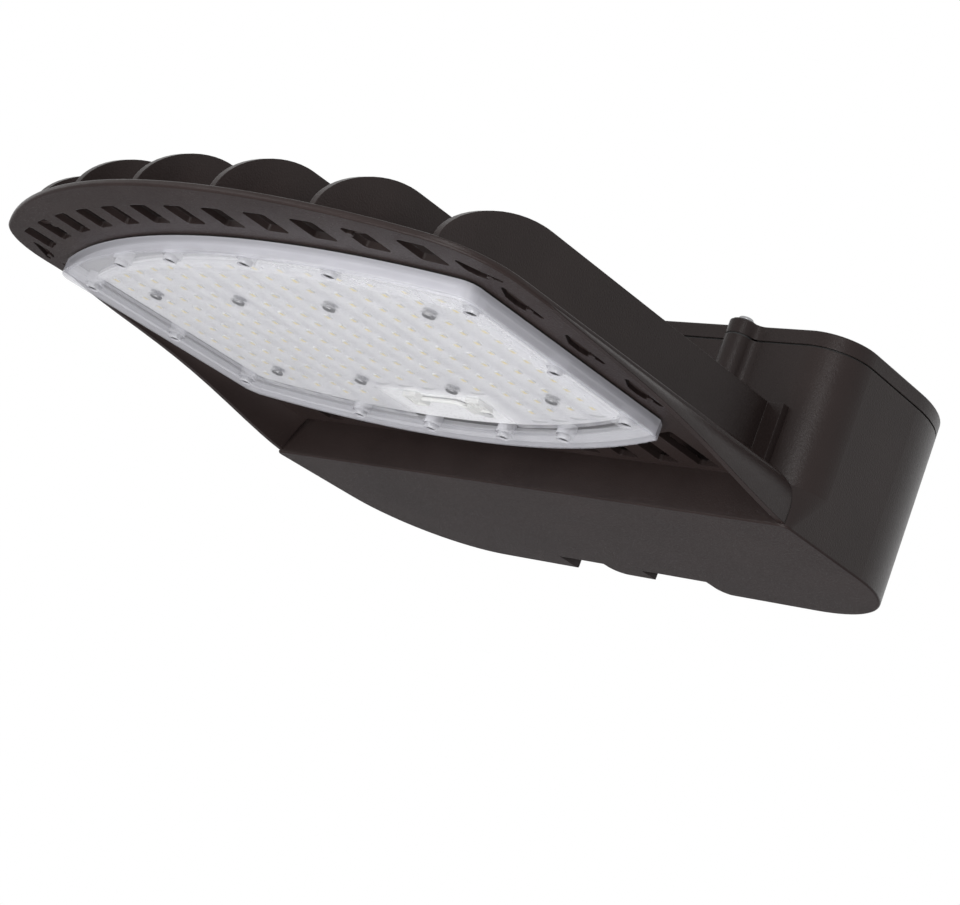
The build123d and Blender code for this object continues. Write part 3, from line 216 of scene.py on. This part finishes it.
@dataclass(frozen=True)
class PowderCoat:
    """A fine-textured powder coat on cast metal."""

    colour: Triple
    pale: Triple
    roughness: float = 0.32
    gloss: float = 0.16
    grain: float = 1150.0
    grain_depth: float = 0.26 * MM
    patches: float = 28.0
    edge_round: float = 0.6 * MM

    def make(self, name: str) -> bpy.types.Material:
        """Makes the coat.

        Args:
            name: the material's name.

        Returns:
            The material.
        """
        shader = Shader(name)
        fine = shader.noise(self.grain, 3.0, 0.6)
        broad = shader.noise(self.patches, 3.0)
        colour = shader.blend(shader.spread(broad, 0.0, 1.0), self.colour, self.pale)
        rough = shader.spread(fine, self.roughness - 0.05, self.roughness + 0.08)
        edge = shader.add("ShaderNodeBevel", Radius=self.edge_round)
        normal = shader.bump(fine, self.grain_depth, 0.5, edge.outputs["Normal"])
        body = shader.add("ShaderNodeBsdfPrincipled", Base_Color=colour, Roughness=rough, Normal=normal)
        body.inputs["Specular IOR Level"].default_value = self.gloss
        return shader.close(body)


@dataclass(frozen=True)
class Plastic:
    """A moulded plastic or rubber, plain in colour with a faint mottle."""

    colour: Triple
    roughness: float = 0.45
    grain: float = 900.0
    grain_depth: float = 0.03 * MM
    mottle: float = 60.0
    mottle_shade: float = 0.9

    def make(self, name: str) -> bpy.types.Material:
        """Makes the plastic.

        Args:
            name: the material's name.

        Returns:
            The material.
        """
        shader = Shader(name)
        fine = shader.noise(self.grain)
        broad = shader.noise(self.mottle)
        darker = tuple(part * self.mottle_shade for part in self.colour)
        colour = shader.blend(shader.spread(broad, 0.0, 1.0), self.colour, darker)
        rough = shader.spread(fine, self.roughness - 0.05, self.roughness + 0.07)
        normal = shader.bump(fine, self.grain_depth, 0.4)
        body = shader.add("ShaderNodeBsdfPrincipled", Base_Color=colour, Roughness=rough, Normal=normal)
        return shader.close(body)


@dataclass(frozen=True)
class BareMetal:
    """Turned or pressed metal with fine tool marks."""

    colour: Triple
    roughness: float = 0.3
    tool_marks: float = 2600.0
    mark_depth: float = 0.02 * MM
    stains: float = 140.0
    stain_shade: float = 0.8

    def make(self, name: str) -> bpy.types.Material:
        """Makes the metal.

        Args:
            name: the material's name.

        Returns:
            The material.
        """
        shader = Shader(name)
        marks = shader.noise(self.tool_marks)
        broad = shader.noise(self.stains)
        darker = tuple(part * self.stain_shade for part in self.colour)
        colour = shader.blend(shader.spread(broad, 0.0, 1.0), self.colour, darker)
        rough = shader.spread(marks, self.roughness - 0.08, self.roughness + 0.12)
        normal = shader.bump(marks, self.mark_depth, 0.3)
        body = shader.add("ShaderNodeBsdfPrincipled", Base_Color=colour, Roughness=rough, Normal=normal)
        body.inputs["Metallic"].default_value = 1.0
        return shader.close(body)


@dataclass(frozen=True)
class ClearCover:
    """Clear moulded plastic, turned opaque near-white in a band beside its wall, where the optic below it
    ends, and on its upright faces, as a painted reflection of the white surround; its colour darkens towards
    the outer edge as painted shade.
    """

    tint: Triple = (0.96, 0.96, 1.0)
    # Painted shade: the colour the cover darkens to at its outer edge; it also tones the random streaks.
    shade: Triple = (0.74, 0.74, 0.80)
    half_width: float = 144.4 * MM
    front_centre: float = -38.3 * MM
    front_radius: float = 332.6 * MM
    rear_centre: float = -490.7 * MM
    rear_radius: float = 323.0 * MM
    wall: float = 3.0 * MM
    band: float = 15.6 * MM
    # Painted reflection: the opacity of the near-white band beside the wall, the clear opacity inside it,
    # and the opacity of upright faces; the opaque near-white stands in for the white surround reflected in
    # the plastic.
    band_reflection_opacity: float = 0.34
    clear: float = 0.08
    wall_reflection_opacity: float = 0.6
    index: float = 1.5
    waves: float = 45.0
    wave_depth: float = 0.3 * MM
    streaks: float = 160.0
    scuffs: float = 700.0

    def inset(self, shader: Shader) -> Socket:
        """Finds how far a point lies inside the cover's outline.

        Args:
            shader: the material that asks.

        Returns:
            The socket of the distance in metres.
        """
        parts = shader.add("ShaderNodeSeparateXYZ", Vector=shader.place)
        side = shader.maths("SUBTRACT", self.half_width, shader.maths("ABSOLUTE", parts.outputs["X"]))
        depth = [side]
        for centre, radius in ((self.front_centre, self.front_radius), (self.rear_centre, self.rear_radius)):
            along = shader.maths("SUBTRACT", parts.outputs["Y"], centre)
            across = shader.maths("MULTIPLY", parts.outputs["X"], parts.outputs["X"])
            reach = shader.maths("SQRT", shader.maths("MULTIPLY_ADD", along, along, across))
            depth.append(shader.maths("SUBTRACT", radius, reach))
        return shader.maths("MINIMUM", depth[0], shader.maths("MINIMUM", depth[1], depth[2]))

    def opacity(self, shader: Shader, inset: Socket) -> Socket:
        """Makes the band beside the wall and the upright faces opaque, as a painted reflection of the white
        surround, and leaves the rest clear.

        Args:
            shader: the material that asks.
            inset: how far a point lies inside the outline.

        Returns:
            The opacity's socket.
        """
        start, end = self.band - 1.2 * MM, self.band + 0.6 * MM
        # Painted reflection: the band and the upright faces turn opaque in the near-white tint.
        flat = shader.spread(inset, self.band_reflection_opacity, self.clear, start, end)
        normal = shader.add("ShaderNodeNewGeometry").outputs["True Normal"]
        level = shader.maths("ABSOLUTE", shader.add("ShaderNodeSeparateXYZ", Vector=normal).outputs["Z"])
        upright = shader.spread(level, self.wall_reflection_opacity, 0.0, 0.1, 0.5)
        return shader.maths("MAXIMUM", flat, upright)

    def make(self, name: str) -> bpy.types.Material:
        """Makes the clear plastic.

        Args:
            name: the material's name.

        Returns:
            The material.
        """
        shader = Shader(name)
        inset = self.inset(shader)
        streaks = shader.noise(self.streaks, 3.0, 0.6, (1, 1, 6))
        broad = shader.noise(self.waves)
        fine = shader.noise(self.scuffs)
        # Painted shade: the colour darkens to the shade colour towards the outer edge, within a wall's width
        # of the outline; mottle carries this painted shade together with the random streaks.
        edge = shader.spread(inset, 0.0, 1.0, self.wall * 0.2, self.wall)
        mottle = shader.maths("MULTIPLY", edge, shader.spread(streaks, 0.55, 1.0))
        colour = shader.blend(mottle, self.shade, self.tint)
        rough = shader.spread(fine, 0.06, 0.12)
        normal = shader.bump(broad, self.wave_depth, 0.2)
        body = shader.add("ShaderNodeBsdfPrincipled", Base_Color=colour, Roughness=rough, Normal=normal)
        shader.join(body, "Alpha", self.opacity(shader, inset))
        body.inputs["IOR"].default_value = self.index
        return shader.close(body)


@dataclass(frozen=True)
class RibbedOptic:
    """A milky optic whose rows of ribs run along the light, bright along the ribs, with painted shade in the
    grooves between them.
    """

    bright: Triple = (0.97, 0.97, 1.0)
    # Painted shade: the colour between the ribs.
    groove_shade: Triple = (0.72, 0.72, 0.78)
    pitch: float = 16.5 * MM
    half_rib: float = 4.8 * MM
    milk: float = 0.20
    streaks: float = 220.0
    streak_depth: float = 0.1 * MM
    scuffs: float = 800.0

    def make(self, name: str) -> bpy.types.Material:
        """Makes the optic's plastic.

        Args:
            name: the material's name.

        Returns:
            The material.
        """
        shader = Shader(name)
        parts = shader.add("ShaderNodeSeparateXYZ", Vector=shader.place)
        across = shader.maths("PINGPONG", parts.outputs["X"], self.pitch / 2)
        streak = shader.noise(self.streaks, 3.0, 0.6, (1, 0.08, 1))
        # Painted shade: the colour falls to the groove shade colour between the ribs, where the ribbed shape
        # would lie in shade.
        clear_of_groove_shade = shader.spread(across, 1.0, 0.0, self.half_rib - 2.4 * MM, self.half_rib + 1.2 * MM)
        share = shader.maths("MULTIPLY", clear_of_groove_shade, shader.spread(streak, 0.88, 1.0))
        colour = shader.blend(share, self.groove_shade, self.bright)
        rough = shader.spread(shader.noise(self.scuffs), 0.20, 0.32)
        normal = shader.bump(streak, self.streak_depth, 0.1)
        body = shader.add("ShaderNodeBsdfPrincipled", Base_Color=colour, Roughness=rough, Normal=normal)
        body.inputs["Alpha"].default_value = self.milk
        return shader.close(body)


FINISHES = {
    "bronze_coat": PowderCoat((0.023, 0.0160, 0.0150), (0.029, 0.0205, 0.0192)),
    "clear_cover": ClearCover(),
    "optic": RibbedOptic(),
    "seal_rubber": Plastic((0.012, 0.012, 0.012), 0.6),
    "steel": BareMetal((0.34, 0.34, 0.35), 0.34),
    "heat_pad": Plastic((0.45, 0.45, 0.47), 0.7),
    "white_board": Plastic((0.93, 0.93, 0.94), 0.3),
    "phosphor": Plastic((0.98, 0.78, 0.12), 0.4),
    "white_plastic": Plastic((0.82, 0.82, 0.80), 0.4),
    "white_insulation": Plastic((0.80, 0.80, 0.78), 0.45),
    "black_insulation": Plastic((0.03, 0.03, 0.03), 0.45),
    "driver_case": BareMetal((0.60, 0.60, 0.61), 0.4),
    "dark_plastic": Plastic((0.035, 0.035, 0.038), 0.5),
    "green_steel": BareMetal((0.12, 0.35, 0.16), 0.35),
    "tinned_copper": BareMetal((0.72, 0.69, 0.64), 0.3),
}
MADE = {name: finish.make(name) for name, finish in FINISHES.items()}


class Bench:
    """One new piece being shaped by mesh operators, with its faces, edges and corners picked in code."""

    def __init__(self, piece: bpy.types.Object) -> None:
        """Takes the piece into edit mode with nothing picked."""
        self.piece = piece
        bpy.ops.object.mode_set(mode="EDIT")
        self.pick_faces(lambda centre, normal: False)

    def pick_faces(self, wanted: Callable[[Vector, Vector], bool]) -> int:
        """Selects the faces whose centre and normal pass a test.

        Args:
            wanted: says of a face's centre and normal if it is picked.

        Returns:
            How many faces are picked.
        """
        bpy.ops.mesh.select_mode(type="FACE")
        mesh = bmesh.from_edit_mesh(self.piece.data)
        for face in mesh.faces:
            face.select_set(wanted(face.calc_center_median(), face.normal))
        return self.keep(mesh, mesh.faces)

    def pick_edges(self, wanted: Callable[[Vector, Vector], bool]) -> int:
        """Selects the edges whose two ends pass a test.

        Args:
            wanted: says of an edge's two ends if it is picked.

        Returns:
            How many edges are picked.
        """
        bpy.ops.mesh.select_mode(type="EDGE")
        mesh = bmesh.from_edit_mesh(self.piece.data)
        for edge in mesh.edges:
            edge.select_set(wanted(edge.verts[0].co, edge.verts[1].co))
        return self.keep(mesh, mesh.edges)

    def pick_corners(self, wanted: Callable[[Vector], bool]) -> int:
        """Selects the corners whose place passes a test.

        Args:
            wanted: says of a corner's place if it is picked.

        Returns:
            How many corners are picked.
        """
        bpy.ops.mesh.select_mode(type="VERT")
        mesh = bmesh.from_edit_mesh(self.piece.data)
        for corner in mesh.verts:
            corner.select_set(wanted(corner.co))
        return self.keep(mesh, mesh.verts)

    def keep(self, mesh: bmesh.types.BMesh, parts: bmesh.types.BMVertSeq) -> int:
        """Sends a selection back to the piece.

        Args:
            mesh: the piece's mesh in edit mode.
            parts: its faces, edges or corners.

        Returns:
            How many of them are picked.
        """
        count = sum(part.select for part in parts)
        mesh.select_flush_mode()
        bmesh.update_edit_mesh(self.piece.data)
        return count

    def inset(self, width: float) -> None:
        """Insets the picked faces."""
        bpy.ops.mesh.inset(thickness=width)

    def push(self, by: Triple) -> None:
        """Extrudes the picked faces by a vector."""
        bpy.ops.mesh.extrude_region_move(TRANSFORM_OT_translate={"value": by})

    def bevel(self, width: float, steps: int = 2) -> None:
        """Rounds the picked edges."""
        bpy.ops.mesh.bevel(offset=width, segments=steps, affect="EDGES")

    def done(self, smooth_degrees: float = 35.0) -> bpy.types.Object:
        """Leaves edit mode and smooths the piece.

        Args:
            smooth_degrees: the angle below which two faces are smoothed into one.

        Returns:
            The finished piece.
        """
        bpy.ops.mesh.select_all(action="SELECT")
        bpy.ops.mesh.normals_make_consistent(inside=False)
        bpy.ops.object.mode_set(mode="OBJECT")
        bpy.ops.object.shade_smooth_by_angle(angle=math.radians(smooth_degrees))
        return self.piece


def deselect() -> None:
    """Leaves edit mode, if it is on, and deselects every object."""
    if bpy.context.mode != "OBJECT":
        bpy.ops.object.mode_set(mode="OBJECT")
    bpy.ops.object.select_all(action="DESELECT")


def reach_of(start: bmesh.types.BMVert, seen: set[bmesh.types.BMVert]) -> tuple[Vector, Vector]:
    """Walks over one solid from a corner.

    Args:
        start: the corner.
        seen: the corners walked over so far, which grows.

    Returns:
        The solid's lowest and highest corner.
    """
    group, queue = [], [start]
    seen.add(start)
    while queue:
        corner = queue.pop()
        group.append(corner.co.copy())
        for edge in corner.link_edges:
            other = edge.other_vert(corner)
            if other not in seen:
                seen.add(other)
                queue.append(other)
    low = Vector([min(point[axis] for point in group) for axis in range(3)])
    high = Vector([max(point[axis] for point in group) for axis in range(3)])
    return low, high


def islands(node: str) -> list[tuple[Vector, Vector]]:
    """Finds where a CAD node's separate solids are.

    Args:
        node: the CAD node's name.

    Returns:
        The lowest and highest corner of each solid, from the left front one on.
    """
    mesh = bmesh.new()
    mesh.from_mesh(frame["nodes"][node].data)
    bmesh.ops.remove_doubles(mesh, verts=mesh.verts, dist=SAME_PLACE)
    boxes, seen = [], set()
    for start in mesh.verts:
        if start not in seen:
            boxes.append(reach_of(start, seen))
    mesh.free()
    return sorted(boxes, key=lambda box: (round(box[0].y, 4), round(box[0].x, 4)))


def copies(pattern: bpy.types.Object, places: list[Vector], facing: Facing, name: str) -> bpy.types.Object:
    """Copies a finished pattern to each place, joins the copies and removes the pattern.

    Args:
        pattern: the piece modelled once, at the origin and facing up.
        places: where its origin goes.
        facing: which way its top looks.
        name: the joined piece's name.

    Returns:
        The joined piece, whose object sits at the origin.
    """
    turn = Matrix.Rotation(math.radians(facing.value), 4, "X")
    made = []
    for place in places:
        copy = pattern.copy()
        copy.data = pattern.data.copy()
        copy.data.transform(Matrix.Translation(place) @ turn)
        bpy.context.collection.objects.link(copy)
        made.append(copy)
    bpy.data.objects.remove(pattern)
    deselect()
    for copy in made:
        copy.select_set(True)
    bpy.context.view_layer.objects.active = made[0]
    if len(made) > 1:
        bpy.ops.object.join()
    made[0].name = name
    return made[0]


def undersides(boxes: list[tuple[Vector, Vector]]) -> list[Vector]:
    """The middle of each box's lower face."""
    return [Vector(((low.x + high.x) / 2, (low.y + high.y) / 2, low.z)) for low, high in boxes]


def dress(piece: bpy.types.Object, slot: str) -> None:
    """Gives a piece one finish.

    Args:
        piece: the piece.
        slot: the record's material slot that the finish comes from.
    """
    piece.data.materials.clear()
    piece.data.materials.append(MADE[slot])


@dataclass
class Screw:
    """A screw with a pan head, a recess for its key and a threaded shank."""

    head_radius: float
    head_height: float
    shank_radius: float
    length: float
    key_radius: float
    drive: Drive = Drive.HEX_SOCKET
    sides: int = 24
    thread_rings: int = 5
    thread_root: float = 0.88
    key_depth: float = 0.6
    key_waist: float = 0.72
    head_round: float = 0.45

    def build(self) -> bpy.types.Object:
        """Models the screw with its head's top at the origin, facing up.

        Returns:
            The screw.
        """
        deselect()
        bpy.ops.mesh.primitive_cylinder_add(
            vertices=self.sides, radius=self.head_radius, depth=self.head_height,
            location=(0, 0, -self.head_height / 2),
        )
        bpy.ops.object.transform_apply(location=True)
        bench = Bench(bpy.context.object)
        small = self.head_height * 0.05
        bench.pick_faces(lambda centre, normal: normal.z > FACES_THAT_WAY)
        bench.inset(self.head_radius - self.key_radius)
        self.cut_key(bench)
        foot = small - self.head_height
        bench.pick_faces(lambda centre, normal: normal.z < -FACES_THAT_WAY and centre.z < foot)
        bench.inset(self.head_radius - self.shank_radius)
        self.cut_thread(bench)
        rim = self.head_radius * 0.98
        bench.pick_edges(lambda a, b: min(a.z, b.z) > -small and min(a.xy.length, b.xy.length) > rim)
        bench.bevel(self.head_height * self.head_round, 4)
        return bench.done()

    def cut_key(self, bench: Bench) -> None:
        """Sinks the recess for the key and draws in the corners between its lobes.

        Args:
            bench: the screw, with its head's inner face picked.
        """
        depth = self.head_height * self.key_depth
        bench.push((0, 0, -depth))
        step = math.tau / self.drive.value

        def between(corner: Vector) -> bool:
            """Tells if a corner of the recess lies between two lobes."""
            turn = math.atan2(corner.y, corner.x) % step
            near = min(turn, step - turn)
            inside = SAME_PLACE < corner.xy.length < self.key_radius * 1.02
            return inside and near > step * 0.3 and corner.z > -depth * 1.1

        bench.pick_corners(between)
        bpy.ops.transform.resize(value=(self.key_waist, self.key_waist, 1), center_override=(0, 0, 0))

    def cut_thread(self, bench: Bench) -> None:
        """Draws the shank down in rings, each with a crest.

        Args:
            bench: the screw, with the face under its head picked.
        """
        step = (self.length - self.head_height) / self.thread_rings / 2
        for ring in range(self.thread_rings * 2):
            bench.push((0, 0, -step))
            share = self.thread_root if ring % 2 == 0 else 1 / self.thread_root
            bpy.ops.transform.resize(value=(share, share, 1), center_override=(0, 0, 0))


LENS_SCREW = Screw(3.0 * MM, 2.0 * MM, 1.5 * MM, 11.4 * MM, 1.2 * MM)
BOARD_SCREW = Screw(3.0 * MM, 1.2 * MM, 1.5 * MM, 9.4 * MM, 1.1 * MM, Drive.CROSS)
LID_SCREW = Screw(3.8 * MM, 2.4 * MM, 2.5 * MM, 19.0 * MM, 2.0 * MM)


@dataclass
class Fasteners:
    """The screws that show: those of the lens, the board and the lid."""

    lens: Screw = field(default_factory=lambda: LENS_SCREW)
    board: Screw = field(default_factory=lambda: BOARD_SCREW)
    lid: Screw = field(default_factory=lambda: LID_SCREW)

    def build(self) -> None:
        """Builds each set of screws where its solids are."""
        self.place(self.lens, "lens_screws", Facing.DOWN, "luminaire")
        self.place(self.board, "board_screws", Facing.DOWN, "luminaire")
        self.place(self.lid, "lid_screw_left", Facing.UP, "left_lid_screw")
        self.place(self.lid, "lid_screw_right", Facing.UP, "right_lid_screw")

    @staticmethod
    def place(screw: Screw, node: str, facing: Facing, body: str) -> None:
        """Copies a screw to each solid of a node, which it replaces.

        Args:
            screw: the screw's sizes.
            node: the CAD node that it stands for.
            facing: which way its head looks.
            body: the body that it rides on.
        """
        places = []
        for low, high in islands(node):
            middle = (low + high) / 2
            middle.z = high.z if facing is Facing.UP else low.z
            places.append(middle)
        piece = copies(screw.build(), places, facing, f"{node}_turned")
        dress(piece, "steel")
        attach(piece, body)
        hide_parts(node)
        log.info("placed %d of %s", len(places), node)


@dataclass
class LightEngine:
    """The chips and the connectors on the white board."""

    frame_width: float = 0.16 * MM
    phosphor_sink: float = 0.12 * MM
    wire_hole: float = 1.1 * MM
    shell_wall: float = 0.9 * MM
    shell_sink: float = 0.5 * MM
    shell_corner: float = 0.6 * MM

    def build(self) -> None:
        """Builds the chips and the connectors."""
        self.chips()
        self.connectors()

    def block(self, size: Vector) -> Bench:
        """Starts a block whose top face is at the origin.

        Args:
            size: its sides.

        Returns:
            The block, ready to be shaped.
        """
        deselect()
        bpy.ops.mesh.primitive_cube_add(size=1, location=(0, 0, -size.z / 2), scale=size)
        bpy.ops.object.transform_apply(location=True, rotation=False, scale=True)
        return Bench(bpy.context.object)

    def chips(self) -> None:
        """Models one chip, a white frame round a sunk phosphor face, and copies it to every solid."""
        boxes = islands("led_chips")
        size = boxes[0][1] - boxes[0][0]
        bench = self.block(size)
        bench.pick_faces(lambda centre, normal: normal.z > FACES_THAT_WAY)
        bench.inset(self.frame_width)
        bench.push((0, 0, -self.phosphor_sink))
        bench.inset(self.frame_width)
        chip = bench.done(20.0)
        chip.data.materials.append(MADE["white_plastic"])
        chip.data.materials.append(MADE["phosphor"])
        for face in chip.data.polygons:
            sunk = face.center.z < -self.phosphor_sink / 2
            face.material_index = int(face.normal.z > FACES_THAT_WAY and sunk)
        places = undersides(boxes)
        piece = copies(chip, places, Facing.DOWN, "led_chip_rows")
        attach(piece, "luminaire")
        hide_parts("led_chips")
        log.info("placed %d chips", len(places))

    def connectors(self) -> None:
        """Models one connector, with a stepped face and two wire holes, and copies it."""
        boxes = islands("board_connectors")
        size = boxes[0][1] - boxes[0][0]
        bench = self.block(size)
        bench.pick_faces(lambda centre, normal: normal.z > FACES_THAT_WAY)
        bench.inset(self.shell_wall)
        bench.push((0, 0, -self.shell_sink))

        def floor(centre: Vector, normal: Vector) -> bool:
            """Tells if a face is the sunk floor of the shell."""
            return normal.z > FACES_THAT_WAY and centre.z < -0.2 * MM

        bench.pick_faces(floor)
        bpy.ops.mesh.subdivide(number_cuts=1)
        bench.pick_faces(floor)
        bpy.ops.mesh.inset(thickness=self.wire_hole, use_individual=True)
        bench.push((0, 0, -self.shell_wall))
        bench.pick_edges(lambda a, b: abs(a.z - b.z) > size.z * 0.9)
        bench.bevel(self.shell_corner, 3)
        piece = bench.done(30.0)
        places = undersides(boxes)
        piece = copies(piece, places, Facing.DOWN, "board_connector_shells")
        dress(piece, "white_plastic")
        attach(piece, "luminaire")
        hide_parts("board_connectors")
        log.info("placed %d connectors", len(places))


@dataclass
class CastingsAndFittings:
    """The solids whose CAD shape is right, which only need their finish."""

    def build(self) -> None:
        """Gives every CAD node the finish of its material slot."""
        for entry in frame["record"]["subparts"]:
            node = frame["nodes"][entry["node"]]
            for slot in node.material_slots:
                slot.material = MADE[entry["material_slot"]]
            log.info("dressed %s", entry["node"])


@dataclass(frozen=True)
class Lamp:
    """One oblong lamp, with its place and sides in metres and its power in watts."""

    name: str
    at: Triple
    sides: tuple[float, float]
    power: float


LAMPS = (
    Lamp("key_below", (0.35, -0.75, -1.2), (0.9, 0.9), 17.0),
    Lamp("fill_front", (-0.4, -1.5, -0.3), (0.8, 0.8), 6.0),
    Lamp("side_near_nose", (0.50, -0.78, 0.02), (0.3, 0.3), 1.7),
    Lamp("strip_right", (1.0, -1.15, 0.3), (0.08, 1.2), 2.2),
    Lamp("top", (0.2, -0.3, 1.6), (1.2, 1.2), 1.0),
)


@dataclass
class Studio:
    """The floor, the lights, the white surround and the camera."""

    floor_z: float = -1.5
    floor_side: float = 60.0
    floor_grey: float = 0.9
    surround: float = 0.22
    aim: Triple = (0.0, -0.25, -0.02)
    camera_place: Triple = (753.24, -873.83, -275.71)
    camera_forward: Triple = (-0.70967, 0.66772, 0.22476)
    camera_up: Triple = (-0.09361, -0.40556, 0.90926)
    lens_length: float = 79.82
    sensor_width: float = 36.0

    def build(self) -> None:
        """Makes the surround, the floor, the lights and the camera."""
        self.white_surround()
        self.floor()
        for lamp in LAMPS:
            self.hang(lamp)
        self.camera()

    def white_surround(self) -> None:
        """Lights the scene softly and shows plain white behind the object and in its gloss."""
        world = bpy.data.worlds.new("surround")
        world.use_nodes = True
        tree = world.node_tree
        tree.nodes.clear()
        path = tree.nodes.new("ShaderNodeLightPath")
        seen = path.outputs["Is Camera Ray"]
        for kind in ("Is Glossy Ray", "Is Transmission Ray"):
            either = tree.nodes.new("ShaderNodeMath")
            either.operation = "MAXIMUM"
            tree.links.new(seen, either.inputs[0])
            tree.links.new(path.outputs[kind], either.inputs[1])
            seen = either.outputs[0]
        soft = tree.nodes.new("ShaderNodeBackground")
        soft.inputs["Color"].default_value = (0.97, 0.97, 1.0, 1)
        soft.inputs["Strength"].default_value = self.surround
        white = tree.nodes.new("ShaderNodeBackground")
        white.inputs["Color"].default_value = (1, 1, 1, 1)
        mix = tree.nodes.new("ShaderNodeMixShader")
        tree.links.new(seen, mix.inputs[0])
        tree.links.new(soft.outputs[0], mix.inputs[1])
        tree.links.new(white.outputs[0], mix.inputs[2])
        tree.links.new(mix.outputs[0], tree.nodes.new("ShaderNodeOutputWorld").inputs[0])
        bpy.context.scene.world = world

    def floor(self) -> None:
        """Lays a plain pale floor far below the light, which hangs from its arm."""
        deselect()
        bpy.ops.mesh.primitive_plane_add(size=self.floor_side, location=(0, 0, self.floor_z))
        floor = bpy.context.object
        floor.name = "floor"
        shader = Shader("pale_floor")
        body = shader.add("ShaderNodeBsdfDiffuse", Color=(*[self.floor_grey] * 3, 1))
        glow = shader.add("ShaderNodeEmission", Color=(1, 1, 1, 1), Strength=1.0)
        path = shader.add("ShaderNodeLightPath")
        mix = shader.add("ShaderNodeMixShader")
        seen = shader.maths("MAXIMUM", path.outputs["Is Camera Ray"], path.outputs["Is Transmission Ray"])
        shader.join(mix, 0, seen)
        shader.join(mix, 1, body.outputs[0])
        shader.join(mix, 2, glow.outputs[0])
        floor.data.materials.append(shader.close(mix))

    def hang(self, lamp: Lamp) -> None:
        """Adds one lamp, turned to the light head.

        Args:
            lamp: its name, place, sides and power.
        """
        data = bpy.data.lights.new(lamp.name, "AREA")
        data.shape = "RECTANGLE"
        data.size, data.size_y = lamp.sides
        data.energy = lamp.power
        hung = bpy.data.objects.new(lamp.name, data)
        bpy.context.collection.objects.link(hung)
        hung.location = lamp.at
        toward = Vector(self.aim) - Vector(lamp.at)
        hung.rotation_euler = toward.to_track_quat("-Z", "Y").to_euler()

    def camera(self) -> None:
        """Sets the camera at the photograph's place, below the light and tilted."""
        data = bpy.data.cameras.new("camera")
        data.lens = self.lens_length
        data.sensor_width = self.sensor_width
        camera = bpy.data.objects.new("camera", data)
        bpy.context.collection.objects.link(camera)
        forward = Vector(self.camera_forward).normalized()
        right = forward.cross(Vector(self.camera_up)).normalized()
        up = right.cross(forward)
        turn = Matrix((right, up, -forward)).transposed().to_4x4()
        camera.matrix_world = Matrix.Translation(Vector(self.camera_place) * MM) @ turn
        data.clip_start = 0.01
        data.clip_end = 100.0
        bpy.context.scene.camera = camera
        bpy.context.scene.view_settings.view_transform = "Standard"


def main() -> None:
    """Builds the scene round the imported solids."""
    logging.basicConfig(level=logging.INFO, format="%(message)s")
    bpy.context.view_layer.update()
    Studio().build()
    CastingsAndFittings().build()
    LightEngine().build()
    Fasteners().build()


if __name__ == "__main__":
    main()
